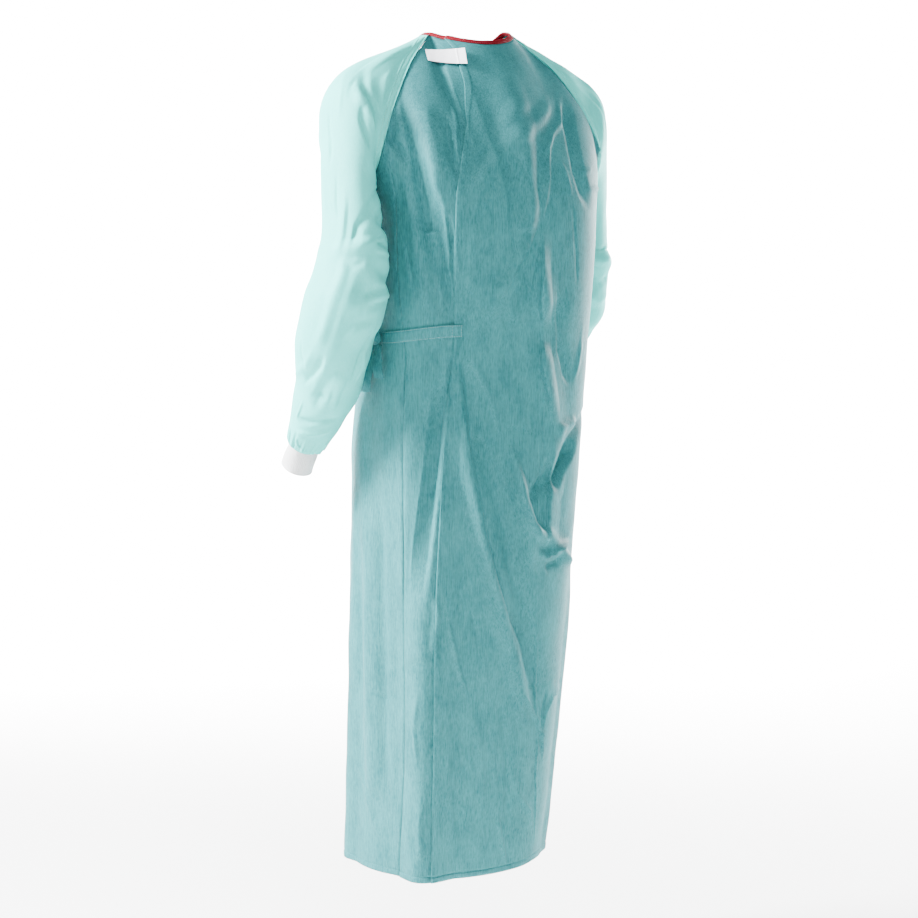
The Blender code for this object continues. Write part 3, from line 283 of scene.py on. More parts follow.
# Creases in the body's cloth: half widths to the left and right of the line in metres, height
# outwards, how sharp the top is, and the places (angle, down) that the line runs through
Crease = namedtuple("Crease", "left right height sharp places")
BODY_CREASES = [
    # upper left panel: pleats drawn into the tie
    Crease(0.0083, 0.0248, -0.0083, 0.9, ((53.5, 0.103), (52.5, 0.128), (52.5, 0.160), (54.5, 0.198),
           (56.0, 0.236), (57.2, 0.273), (56.5, 0.304), (54.0, 0.337), (52.5, 0.369), (51.0, 0.404),
           (49.5, 0.435), (48.0, 0.456))),
    Crease(0.0115, 0.0066, 0.0045, 0.8, ((54.0, 0.267), (54.2, 0.301), (52.0, 0.333), (50.5, 0.371),
           (49.0, 0.411), (47.0, 0.453))),
    Crease(0.0066, 0.0115, -0.0053, 0.9, ((47.8, 0.256), (49.5, 0.297), (48.8, 0.341), (48.0, 0.380),
           (47.0, 0.411), (45.8, 0.441), (45.2, 0.457))),
    Crease(0.0049, 0.0049, -0.0046, 0.9, ((45.0, 0.289), (44.0, 0.313), (42.8, 0.337), (42.5, 0.368),
           (43.0, 0.403))),
    Crease(0.0099, 0.0066, -0.0067, 0.8, ((34.0, 0.137), (35.5, 0.163), (36.8, 0.192), (37.0, 0.217),
           (37.5, 0.239))),
    Crease(0.0041, 0.0041, 0.0034, 0.9, ((30.0, 0.124), (29.8, 0.139), (31.2, 0.160), (34.0, 0.190),
           (35.8, 0.212))),
    Crease(0.0132, 0.0149, -0.0053, 0.5, ((67.0, 0.159), (65.5, 0.181), (61.2, 0.201), (58.8, 0.215))),
    Crease(0.0041, 0.0041, 0.0021, 0.9, ((51.0, 0.197), (53.8, 0.227), (54.2, 0.258), (54.2, 0.280))),
    Crease(0.0132, 0.0132, 0.0037, 0.5, ((61.8, 0.296), (60.5, 0.341), (58.0, 0.387), (54.8, 0.425),
           (51.8, 0.453))),
    Crease(0.0049, 0.0049, -0.0025, 0.9, ((67.2, 0.325), (64.5, 0.368), (61.2, 0.407), (57.5, 0.444))),
    Crease(0.0231, 0.0165, 0.0045, 0.4, ((41.5, 0.120), (43.5, 0.167), (44.2, 0.213), (44.5, 0.259))),
    # right back panel, above the tie
    Crease(0.0198, 0.0198, 0.0032, 0.4, ((-11.0, 0.109), (-2.8, 0.127), (1.8, 0.148), (5.5, 0.173),
           (9.2, 0.195))),
    Crease(0.0041, 0.0041, 0.0023, 0.9, ((7.0, 0.193), (12.5, 0.213), (18.5, 0.236))),
    Crease(0.0041, 0.0041, 0.0019, 0.9, ((22.0, 0.240), (28.0, 0.262), (31.8, 0.296))),
    Crease(0.0041, 0.0041, 0.0017, 0.9, ((6.8, 0.195), (4.2, 0.204), (2.8, 0.220), (1.5, 0.241))),
    Crease(0.0115, 0.0049, 0.0039, 0.9, ((-39.5, 0.094), (-33.0, 0.128), (-28.8, 0.150),
           (-19.2, 0.167), (-15.0, 0.189), (-14.0, 0.211), (-14.2, 0.236), (-13.0, 0.261),
           (-11.2, 0.286), (-9.8, 0.311))),
    Crease(0.0066, 0.0049, 0.0038, 0.9, ((-9.8, 0.311), (-8.2, 0.343), (-6.0, 0.371), (-4.5, 0.399),
           (-4.2, 0.420))),
    Crease(0.0041, 0.0215, 0.0109, 0.9, ((-11.0, 0.305), (-10.8, 0.340), (-10.2, 0.380),
           (-11.0, 0.427), (-15.0, 0.471), (-15.0, 0.505), (-15.5, 0.533), (-18.0, 0.560),
           (-20.5, 0.590), (-22.2, 0.617), (-24.2, 0.636))),
    Crease(0.0049, 0.0264, -0.0060, 0.6, ((-22.2, 0.411), (-25.5, 0.465), (-28.2, 0.509),
           (-31.8, 0.544), (-38.8, 0.565))),
    Crease(0.0099, 0.0066, 0.0036, 0.8, ((-39.5, 0.561), (-43.5, 0.533), (-46.2, 0.500),
           (-46.8, 0.459))),
    Crease(0.0181, 0.0058, 0.0060, 0.8, ((-6.5, 0.313), (0.2, 0.341), (7.0, 0.372), (13.2, 0.403),
           (19.0, 0.431))),
    Crease(0.0033, 0.0033, -0.0017, 0.9, ((8.5, 0.256), (10.5, 0.303), (10.2, 0.349))),
    Crease(0.0033, 0.0033, -0.0017, 0.9, ((2.0, 0.284), (0.5, 0.321), (0.0, 0.361))),
    Crease(0.0041, 0.0033, -0.0025, 0.9, ((-2.5, 0.367), (-0.8, 0.395), (1.5, 0.420))),
    Crease(0.0033, 0.0041, -0.0021, 0.9, ((2.0, 0.371), (-0.8, 0.395), (-2.8, 0.420))),
    Crease(0.0115, 0.0198, -0.0069, 0.7, ((-38.2, 0.102), (-34.5, 0.144), (-33.8, 0.187),
           (-34.8, 0.224), (-38.0, 0.256), (-44.2, 0.284))),
    Crease(0.0049, 0.0049, 0.0025, 0.9, ((-34.5, 0.215), (-39.5, 0.224), (-47.8, 0.219))),
    Crease(0.0049, 0.0049, 0.0025, 0.9, ((-35.2, 0.244), (-41.0, 0.252), (-70.8, 0.245))),
    Crease(0.0033, 0.0033, -0.0021, 0.9, ((-31.2, 0.277), (-33.0, 0.316), (-35.8, 0.360),
           (-37.2, 0.404))),
    Crease(0.0041, 0.0041, 0.0023, 0.9, ((-23.8, 0.207), (-27.8, 0.229), (-30.8, 0.264))),
    Crease(0.0132, 0.0132, 0.0036, 0.4, ((30.2, 0.304), (32.8, 0.347), (34.0, 0.387), (36.0, 0.425))),
    Crease(0.0165, 0.0231, 0.0030, 0.4, ((13.2, 0.425), (1.2, 0.473), (-9.0, 0.520))),
    Crease(0.0033, 0.0033, -0.0015, 0.9, ((-6.0, 0.427), (-7.0, 0.473), (-10.2, 0.517))),
    # below the tie: folds that fan out
    Crease(0.0429, 0.0165, 0.0098, 0.7, ((48.0, 0.493), (49.2, 0.521), (50.0, 0.561), (50.8, 0.604),
           (51.2, 0.652), (51.5, 0.698), (52.5, 0.754), (52.8, 0.809), (52.0, 0.880), (51.2, 0.944))),
    Crease(0.0165, 0.0115, -0.0080, 0.7, ((44.8, 0.527), (44.8, 0.572), (45.5, 0.624), (46.0, 0.674),
           (46.2, 0.724), (46.5, 0.776), (47.0, 0.830), (46.8, 0.893))),
    Crease(0.0083, 0.0049, 0.0045, 0.9, ((42.8, 0.536), (41.8, 0.588), (41.2, 0.640), (41.2, 0.682),
           (41.2, 0.726), (41.2, 0.768))),
    Crease(0.0066, 0.0049, -0.0042, 0.9, ((42.5, 0.503), (41.2, 0.557), (40.0, 0.612))),
    Crease(0.0165, 0.0099, 0.0075, 0.8, ((40.0, 0.505), (37.2, 0.543), (33.8, 0.586), (31.5, 0.630),
           (29.0, 0.674), (25.5, 0.721), (21.2, 0.772), (16.5, 0.826), (10.5, 0.885), (2.8, 0.952),
           (-4.0, 1.013))),
    Crease(0.0099, 0.0264, -0.0075, 0.7, ((37.2, 0.512), (33.2, 0.556), (29.8, 0.602), (27.5, 0.642),
           (23.5, 0.688))),
    Crease(0.0115, 0.0149, -0.0083, 0.6, ((22.8, 0.706), (18.0, 0.757), (14.2, 0.809), (8.0, 0.870),
           (-0.8, 0.932), (-14.8, 0.994))),
    Crease(0.0049, 0.0149, 0.0037, 0.7, ((35.0, 0.505), (27.2, 0.540), (19.5, 0.575), (14.2, 0.613),
           (11.8, 0.641))),
    Crease(0.0041, 0.0049, -0.0038, 0.9, ((28.5, 0.649), (24.8, 0.644), (19.5, 0.652))),
    Crease(0.0033, 0.0033, -0.0019, 0.9, ((34.2, 0.642), (33.0, 0.677), (33.0, 0.705))),
    Crease(0.0033, 0.0033, -0.0019, 0.9, ((12.8, 0.622), (-2.0, 0.630), (-15.8, 0.636),
           (-22.8, 0.634))),
    Crease(0.0033, 0.0041, -0.0029, 0.9, ((-17.5, 0.572), (-18.0, 0.633), (-16.8, 0.693),
           (-15.0, 0.745))),
    # the pocket fold and the sling fold under it
    Crease(0.0083, 0.0149, 0.0092, 0.9, ((7.2, 0.645), (1.5, 0.677), (-1.0, 0.712), (-4.0, 0.748),
           (-9.0, 0.780), (-15.2, 0.806), (-21.0, 0.824))),
    Crease(0.0132, 0.0066, -0.0030, 0.7, ((7.2, 0.693), (3.8, 0.733), (-0.5, 0.773), (-6.0, 0.806),
           (-12.2, 0.832))),
    Crease(0.0055, 0.0330, 0.0085, 0.8, ((-23.8, 0.636), (-23.8, 0.673), (-25.8, 0.714),
           (-22.2, 0.746), (-21.8, 0.778), (-20.8, 0.817))),
    Crease(0.0115, 0.0125, -0.0125, 0.8, ((-47.5, 0.657), (-41.0, 0.672), (-34.0, 0.690),
           (-28.5, 0.712), (-25.0, 0.734))),
    Crease(0.0066, 0.0066, 0.0105, 0.8, ((-13.5, 0.829), (-22.2, 0.837), (-27.5, 0.830),
           (-35.2, 0.824), (-44.8, 0.821))),
    Crease(0.0033, 0.0033, -0.0034, 0.9, ((-21.0, 0.812), (-25.2, 0.826))),
    Crease(0.0132, 0.0083, -0.0067, 0.5, ((-22.0, 0.857), (-31.0, 0.850), (-34.2, 0.840))),
    Crease(0.0049, 0.0198, 0.0060, 0.7, ((-44.8, 0.618), (-35.0, 0.625), (-25.2, 0.634))),
    # lower back: pressed lines and small branching creases
    Crease(0.0030, 0.0030, 0.0025, 0.9, ((-17.5, 0.908), (-22.2, 1.010), (-25.2, 1.111),
           (-28.5, 1.215), (-35.0, 1.341))),
    Crease(0.0030, 0.0030, -0.0025, 0.9, ((-6.8, 1.048), (-24.0, 1.054), (-34.5, 1.054),
           (-59.2, 1.066))),
    Crease(0.0049, 0.0049, 0.0046, 0.9, ((-7.5, 1.052), (-16.2, 1.080), (-25.8, 1.115), (-31.5, 1.153),
           (-36.2, 1.190))),
    Crease(0.0049, 0.0049, 0.0042, 0.9, ((-55.8, 1.069), (-38.8, 1.081), (-32.8, 1.105),
           (-30.0, 1.135), (-28.5, 1.161))),
    Crease(0.0041, 0.0041, -0.0032, 0.9, ((-32.8, 1.065), (-30.5, 1.090), (-28.8, 1.117))),
    Crease(0.0049, 0.0049, 0.0038, 0.8, ((-10.5, 1.222), (-18.2, 1.246), (-29.2, 1.279))),
    Crease(0.0049, 0.0041, 0.0038, 0.8, ((0.2, 1.254), (-4.0, 1.299), (-9.0, 1.346))),
    Crease(0.0066, 0.0049, 0.0050, 0.9, ((40.8, 0.886), (39.0, 0.916), (39.8, 0.944), (39.8, 0.982))),
    Crease(0.0049, 0.0049, 0.0046, 0.9, ((35.0, 0.926), (32.2, 0.960), (29.2, 1.000), (25.2, 1.034),
           (22.2, 1.061))),
    Crease(0.0066, 0.0066, -0.0038, 0.7, ((38.2, 0.893), (36.2, 0.929), (37.0, 0.965), (35.8, 1.004))),
    Crease(0.0049, 0.0049, 0.0025, 0.9, ((19.0, 0.964), (14.5, 1.000), (11.8, 1.046))),
    Crease(0.0041, 0.0041, -0.0025, 0.9, ((24.0, 0.908), (20.0, 0.950), (17.0, 0.988))),
    Crease(0.0099, 0.0099, 0.0033, 0.5, ((21.0, 1.061), (15.5, 1.119), (11.5, 1.187), (11.0, 1.254))),
    Crease(0.0115, 0.0115, -0.0036, 0.5, ((3.5, 1.065), (-1.8, 1.134), (-6.5, 1.211), (-7.0, 1.287))),
    Crease(0.0041, 0.0041, 0.0021, 0.9, ((3.8, 1.123), (4.8, 1.167), (1.2, 1.217))),
    Crease(0.0041, 0.0041, 0.0021, 0.9, ((28.0, 1.125), (24.8, 1.175), (25.5, 1.226))),
    Crease(0.0132, 0.0132, 0.0033, 0.5, ((32.0, 1.090), (32.0, 1.155), (29.2, 1.223), (26.0, 1.309))),
    Crease(0.0030, 0.0030, -0.0019, 0.9, ((51.8, 0.997), (45.5, 0.996), (40.8, 0.992))),
    Crease(0.0030, 0.0030, -0.0019, 0.9, ((49.2, 1.194), (43.2, 1.191), (38.2, 1.189))),
    Crease(0.0049, 0.0049, 0.0025, 0.8, ((46.5, 1.038), (47.5, 1.105), (45.0, 1.169))),
    Crease(0.0099, 0.0099, 0.0037, 0.5, ((42.2, 1.218), (42.5, 1.267), (40.8, 1.321))),
    # left of the side seam
    Crease(0.0200, 0.0300, 0.0082, 0.8, ((93.2, 0.650), (89.0, 0.748), (86.2, 0.845), (82.5, 0.976),
           (80.2, 1.109), (78.2, 1.209), (78.8, 1.294))),
    Crease(0.0115, 0.0132, -0.0060, 0.5, ((77.5, 0.696), (74.2, 0.840), (70.5, 0.986), (68.5, 1.135),
           (64.0, 1.250))),
    Crease(0.0049, 0.0049, 0.0034, 0.8, ((96.2, 1.173), (91.8, 1.190), (85.0, 1.217), (78.2, 1.253),
           (72.5, 1.286), (65.2, 1.315))),
    Crease(0.0049, 0.0049, 0.0034, 0.8, ((66.0, 0.692), (67.0, 0.741), (64.0, 0.788), (64.5, 0.837))),
    Crease(0.0041, 0.0041, -0.0025, 0.9, ((78.8, 1.057), (69.0, 1.064), (59.8, 1.053))),
    Crease(0.0041, 0.0041, 0.0025, 0.9, ((62.8, 0.917), (64.5, 0.984), (61.2, 1.049))),
    Crease(0.0049, 0.0041, 0.0029, 0.9, ((94.2, 0.914), (92.2, 0.997), (94.2, 1.082))),
    Crease(0.0066, 0.0066, 0.0042, 0.7, ((59.5, 1.137), (61.5, 1.198), (58.8, 1.257), (55.2, 1.313))),
    # front and right side, hidden in the photo
    Crease(0.012, 0.018, 0.0050, 0.4, ((118, 0.33), (124, 0.40), (128, 0.46))),
    Crease(0.010, 0.010, -0.0040, 0.4, ((132, 0.30), (134, 0.38), (133, 0.455))),
    Crease(0.016, 0.010, 0.0050, 0.4, ((130, 0.50), (136, 0.60), (139, 0.75), (140, 0.92))),
    Crease(0.010, 0.016, -0.0055, 0.4, ((124, 0.50), (126, 0.62), (130, 0.80))),
    Crease(0.020, 0.014, 0.0045, 0.3, ((168, 0.12), (163, 0.20), (161, 0.30), (163, 0.42))),
    Crease(0.014, 0.014, 0.0040, 0.4, ((186, 0.55), (190, 0.75), (189, 0.98), (192, 1.20))),
    Crease(0.010, 0.018, -0.0050, 0.4, ((172, 0.62), (174, 0.85), (170, 1.10))),
    Crease(0.016, 0.012, 0.0050, 0.4, ((228, 0.32), (222, 0.42), (219, 0.55), (221, 0.70))),
    Crease(0.012, 0.018, -0.0050, 0.4, ((212, 0.60), (210, 0.80), (213, 1.05))),
    Crease(0.014, 0.010, 0.0040, 0.5, ((243, 0.62), (246, 0.80), (244, 1.02), (247, 1.22))),
    Crease(0.010, 0.010, 0.0030, 0.6, ((268, 0.42), (262, 0.50), (264, 0.62))),
    Crease(0.0025, 0.0025, 0.0009, 0.9, ((180, 0.12), (180, 0.40), (180, 0.80), (180, 1.355))),
    Crease(0.0025, 0.0025, -0.0008, 0.9, ((100, 1.045), (140, 1.05), (180, 1.045), (220, 1.05),
           (260, 1.045))),
]


def line_rise(across, down, left, right, height, sharp, places):
    """The height of one crease over a sheet: soft or sharp on top, and fading out at both ends."""
    nearest = np.full(across.shape, 9.0)
    signed, share = np.zeros(across.shape), np.zeros(across.shape)
    places = np.array(places, float)
    lengths = np.linalg.norm(np.diff(places, axis=0), axis=1)
    whole, run = lengths.sum(), 0.0
    for start, end, length in zip(places, places[1:], lengths):
        step = (end - start) / length
        to_x, to_y = across - start[0], down - start[1]
        t = np.clip(to_x * step[0] + to_y * step[1], 0, length)
        off_x, off_y = to_x - t * step[0], to_y - t * step[1]
        far = np.hypot(off_x, off_y)
        here = far < nearest
        nearest[here] = far[here]
        signed[here] = (step[1] * to_x - step[0] * to_y)[here]
        share[here] = ((run + t) / whole)[here]
        run += length
    reach = nearest / np.where(signed > 0, left, right)
    inside = np.clip(1 - reach, 0, 1)
    shape = (1 - sharp) * np.sin(np.pi / 2 * inside) ** 2 + sharp * inside
    return height * shape * soft(share * 4 + 0.06) * soft((1 - share) * 4 + 0.06)


def crease_height(angle, down):
    """The height of all of the body's creases."""
    total = np.zeros(angle.shape)
    for crease in BODY_CREASES:
        middle = np.mean([place[0] for place in crease.places])
        turn = (angle - middle + 180) % 360 - 180 + middle
        places = [(a * METRES_A_DEGREE, d) for a, d in crease.places]
        total += line_rise(turn * METRES_A_DEGREE, down, *crease[:4], places)
    return total * (0.25 + 0.75 * soft(np.abs(down - BELT_DOWN) / 0.025 - 0.3))


def cockle(points, size, height):
    """A small unevenness of hand smoothed cloth, the same on both sides of a seam."""
    x, y, z = np.moveaxis(points, -1, 0) / size
    wave = np.sin(1.7 * x + 2.3 * np.sin(0.9 * z + y)) * np.sin(1.3 * y + 1.9 * np.sin(0.8 * z + 0.7 * x))
    return height * (wave + 0.6 * np.sin(1.1 * z + 2.1 * x - 1.7 * y) * np.sin(0.7 * z))


# The hem is turned up and sewn: its height, how far its fold stands out, and its row of stitches
HEM, HEM_STEP, HEM_GROOVE, STITCHED_ABOVE = 0.0095, 0.0006, 0.0007, 0.0004
# The side seams: the allowance pressed to the back, and how far the cloth is drawn in
SEAM_ALLOWANCE, SEAM_DEPTH, SEAM_WIDTH, TOP_SEAM_DEPTH = 0.009, 0.0009, 0.002, 0.0006


def seam_groove(metres, depth, width=0.004):
    """How far cloth is drawn in at a distance from a seam."""
    return depth * soft(1 - metres / width)


def spaced_out(groups):
    """Stations along groups of (start, end, count), without repeats."""
    values = [groups[0][0]]
    for start, end, count in groups:
        values += list(np.linspace(start, end, count + 1)[1:])
    return np.array(values)


def cloth(name, rows, finish, thickness=0.0006, closed=False, clockwise=True):
    """A thin shell bent through rows of points: its own object, riding on the gown."""
    tall, across = rows.shape[:2]
    if closed:
        rows = np.concatenate([rows, rows[:, :1]], axis=1)
        across += 1
    bm = bmesh.new()
    bmesh.ops.create_grid(bm, x_segments=across - 1, y_segments=tall - 1, size=0.5)
    for vertex in bm.verts:
        column = round((vertex.co.x + 0.5) * (across - 1))
        row = round((0.5 - vertex.co.y) * (tall - 1))
        vertex.co = rows[row, column]
    if closed:
        bmesh.ops.remove_doubles(bm, verts=bm.verts, dist=0.00001)
    if clockwise:
        bmesh.ops.reverse_faces(bm, faces=bm.faces)
    piece = new_piece(name, bm, finish)
    wall = piece.modifiers.new("wall", "SOLIDIFY")
    wall.thickness, wall.offset = thickness, -1.0
    return piece


def new_piece(name, bm, finish):
    """A finished mesh as an object that rides on the gown."""
    mesh = bpy.data.meshes.new(name)
    bm.to_mesh(mesh)
    bm.free()
    mesh.materials.append(finish)
    mesh.shade_smooth()
    piece = bpy.data.objects.new(name, mesh)
    bpy.context.scene.collection.objects.link(piece)
    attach(piece, "root")
    return piece


class Tone:
    """A number, colour or place in a material; sums on it, and its methods, add the nodes."""

    def __init__(self, tree, socket):
        self.tree, self.socket = tree, socket

    def made(self, kind, settings, inputs, output=0):
        """Any node: its kind, its settings, and the values or links of its sockets."""
        node = self.tree.nodes.new(kind)
        stops = settings.pop("stops", None)
        for word, value in settings.items():
            setattr(node, word, value)
        if stops:
            ramp = node.color_ramp
            while len(ramp.elements) < len(stops):
                ramp.elements.new(0.5)
            for element, (place, colour) in zip(ramp.elements, stops):
                element.position, element.color = place, (*colour, 1)
        for word, value in inputs.items():
            if isinstance(value, Tone):
                self.tree.links.new(value.socket, node.inputs[word])
            else:
                node.inputs[word].default_value = value
        return Tone(self.tree, node.outputs[output])

    def sum(self, operation, first, second):
        return self.made("ShaderNodeMath", {"operation": operation}, {0: first, 1: second})

    def __add__(self, other):
        return self.sum("ADD", self, other)

    __radd__ = __add__

    def __mul__(self, other):
        return self.sum("MULTIPLY", self, other)

    __rmul__ = __mul__

    def __sub__(self, other):
        return self.sum("SUBTRACT", self, other)

    def __rsub__(self, other):
        return self.sum("SUBTRACT", other, self)

    def noise(self, scale, detail=3.0, roughness=0.6):
        return self.made("ShaderNodeTexNoise", {}, {
            "Vector": self, "Scale": scale, "Detail": detail, "Roughness": roughness})

    def stretched(self, x, y, z):
        return self.made("ShaderNodeMapping", {"vector_type": "POINT"}, {"Vector": self, "Scale": (x, y, z)})

    def ramp(self, *stops):
        return self.made("ShaderNodeValToRGB", {"stops": list(stops)}, {"Fac": self})

    def between(self, low, high):
        """Spread from low..high to 0..1."""
        return self.made("ShaderNodeMapRange", {}, {"Value": self, "From Min": low, "From Max": high})


def finish_of(name):
    """A new material, its shader, and the object's own coordinates."""
    made = bpy.data.materials.new(name)
    made.use_nodes = True
    tree = made.node_tree
    place = Tone(tree, None).made("ShaderNodeTexCoord", {}, {}, output="Object")
    return made, tree.nodes["Principled BSDF"], place


def feed(shader, place, colour, roughness, height, distance):
    """Link the varying colour, roughness and bump of a cloth."""
    tree = place.tree
    tree.links.new(colour.socket, shader.inputs["Base Color"])
    tree.links.new(roughness.socket, shader.inputs["Roughness"])
    bump = place.made("ShaderNodeBump", {}, {"Height": height, "Strength": 1.0, "Distance": distance})
    tree.links.new(bump.socket, shader.inputs["Normal"])


def nonwoven(name, dark, light, streak_share):
    """Spunlaced cloth: long fibres that run down the piece, cloudy patches, and a few loose curls."""
    made, shader, place = finish_of(name)
    streaks = place.stretched(760, 760, 34).noise(1.0, 4.0, 0.65)
    fine = place.stretched(1300, 1300, 90).noise(1.0, 3.0, 0.65)
    clouds = place.stretched(30, 30, 13).noise(1.0, 5.0, 0.6)
    curls = place.stretched(300, 300, 170).noise(1.0, 2.0, 0.5)
    weave = streaks.between(0.28, 0.72) * streak_share + fine.between(0.28, 0.72) * (0.6 * streak_share)
    mix = weave + clouds.between(0.30, 0.70) * 0.20 + curls.between(0.36, 0.64) * 0.10
    colour = mix.ramp((0.22, dark), (0.84, light))
    feed(shader, place, colour, streaks * 0.14 + 0.50, streaks * 0.8 + fine * 0.5 + curls * 0.3, 0.0004)
    shader.inputs["Specular IOR Level"].default_value = 0.05
    return made


teal_nonwoven = nonwoven("teal_nonwoven", (0.013, 0.097, 0.107), (0.050, 0.232, 0.247), 0.46)

FRONT_STATIONS = spaced_out([(CHEST_ARM_BACK, CHEST_ARM_FRONT, 21),
                             (CHEST_ARM_FRONT, CHEST_FRONT_JOINT, 21), (CHEST_FRONT_JOINT, 180, 18)])
FRONT_STATIONS = np.concatenate([FRONT_STATIONS, -FRONT_STATIONS[-2::-1]])


def body_rise(points, angles, levels):
    """The height of the creases and the small unevenness on the body's form."""
    fades_in = soft(levels * 12)
    return (crease_height(angles, -points[..., 2]) + cockle(points, 0.045, 0.0008)) * fades_in


BEND_HALF_WIDTH, PRESSINGS = 9, 120


def rounded_off(points, angles, levels):
    """A panel's form with the bend below the right end of the neck seam pressed smooth."""
    share = 0.25 * np.exp(-((angles + CHEST_BACK_JOINT) / BEND_HALF_WIDTH) ** 2) * soft(levels * 25)
    for _ in range(PRESSINGS):
        points[:, 1:-1] += share[:, 1:-1, None] * (points[:, :-2] - 2 * points[:, 1:-1] + points[:, 2:])
    return points


def body_grid(angles, levels, seams, over=0.0):
    """Points of a body panel with its creases; seams are the chest angles of its sewn sides, and over
    is how far the panel's edge stands up there."""
    levels = np.broadcast_to(levels[:, None], angles.shape)
    points = rounded_off(body_point(angles, levels), angles, levels)
    out = out_of_grid(points)
    rise = body_rise(points, angles, levels)
    for seam in seams:
        metres = np.abs(angles - slid_angle(np.full_like(angles, seam), levels)) * METRES_A_DEGREE
        rise += over * soft((SEAM_ALLOWANCE - metres) / 0.003) * soft(levels * 2 - 1)
        rise -= seam_groove(metres, SEAM_DEPTH, SEAM_WIDTH)
    sewn_top = (np.abs(angles) > CHEST_BACK_JOINT) & (np.abs(angles) < CHEST_FRONT_JOINT)
    rise -= np.where(sewn_top, seam_groove(levels * 0.3, TOP_SEAM_DEPTH), 0.0)
    above_hem = 1 + LENGTH - CHEST - levels
    rise += HEM_STEP * soft((HEM - above_hem) / 0.0012)
    rise -= HEM_GROOVE * np.exp(-((above_hem - HEM - STITCHED_ABOVE) / 0.0010) ** 2)
    return points + out * rise[..., None], out


front_levels = panel_levels(56, 164)
front_angles = slid_angle(FRONT_STATIONS[None, :], front_levels[:, None])
front_rows = body_grid(front_angles, front_levels, (CHEST_ARM_BACK, -CHEST_ARM_BACK))[0]
front = cloth("front_panel", front_rows, teal_nonwoven)
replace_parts(front, "front")


# The left back panel: teal nonwoven, sewn to the front at the side seam. Its own edge runs on under
# the right panel, where it can't be seen, and it lies one layer lower there.
HIDDEN_EDGE = [Line(0.00, -10), Line(0.32, -28), Line(LENGTH, -30)]
FREE_EDGE = [Line(0.000, 19.9), Line(0.020, 15.4), Line(0.059, 14.1), Line(0.096, 14.6),
             Line(0.145, 20.4), Line(0.181, 28.6), Line(0.236, 36.7), Line(0.269, 39.9),
             Line(0.320, 41.6), Line(0.380, 42.0), Line(0.460, 41.8), Line(0.710, 41.5),
             Line(0.886, 40.5), Line(1.086, 38.5), Line(LENGTH, 35.8)]
UNDERLAP_DROP, UNDERLAP_TURN, UNDERLAP_NECK_TURN, UNDERLAP_HIDDEN_DROP = 0.0022, 18.0, 8.0, 0.006
UNDERLAP_COLUMNS, BACK_SEAM_OVER = 20, 0.0006


def underlap_drop(angle, level):
    """How far the left back panel lies below the overlap that covers it."""
    edge = on_table(FREE_EDGE, rough_down(level))[..., 0]
    turn = UNDERLAP_NECK_TURN + (UNDERLAP_TURN - UNDERLAP_NECK_TURN) * soft(level)
    near = soft((edge + turn - angle) / turn)
    under = soft((edge - angle) / UNDERLAP_TURN) * soft(level * 2)
    return UNDERLAP_DROP * near + UNDERLAP_HIDDEN_DROP * under


back_levels = panel_levels(76, 208)
hidden = on_table(HIDDEN_EDGE, rough_down(back_levels))
left_stations = spaced_out([(0, CHEST_BACK_JOINT, 42), (CHEST_BACK_JOINT, CHEST_ARM_BACK, 64)])
left_angles = np.hstack([hidden * (1 - np.arange(UNDERLAP_COLUMNS)[None, :] / UNDERLAP_COLUMNS),
                         slid_angle(left_stations[None, :], back_levels[:, None])])
left_rows, left_out = body_grid(left_angles, back_levels, (CHEST_ARM_BACK,), BACK_SEAM_OVER)
left_drop = underlap_drop(left_angles, np.broadcast_to(back_levels[:, None], left_angles.shape))
back_left = cloth("back_left_panel", left_rows - left_out * left_drop[..., None], teal_nonwoven)
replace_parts(back_left, "back_left")


# The right back panel: the same cloth, lapped over the left one. Its free edge is folded under by
# 9 mm and pressed, so a faint second line runs down beside it.
EDGE_FOLD, EDGE_STEP, EDGE_ROUND, LAP_COLUMNS = 0.009, 0.0005, 0.0004, 56
right_stations = -left_stations[::-1]
lap_share = np.linspace(0, 1, LAP_COLUMNS + 1)[None, 1:]
free_edge = on_table(FREE_EDGE, rough_down(back_levels))
right_angles = np.hstack([slid_angle(right_stations[None, :], back_levels[:, None]), free_edge * lap_share])
right_rows, right_out = body_grid(right_angles, back_levels, (-CHEST_ARM_BACK,), BACK_SEAM_OVER)
from_edge = (free_edge - right_angles) * METRES_A_DEGREE
pressed = EDGE_STEP * soft((EDGE_FOLD - from_edge) / 0.0015) - EDGE_ROUND * soft(1 - from_edge / 0.0012)
right_rows = right_rows + right_out * pressed[..., None]
back_right = cloth("back_right_panel", right_rows, teal_nonwoven, thickness=0.0008)
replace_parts(back_right, "back_right")


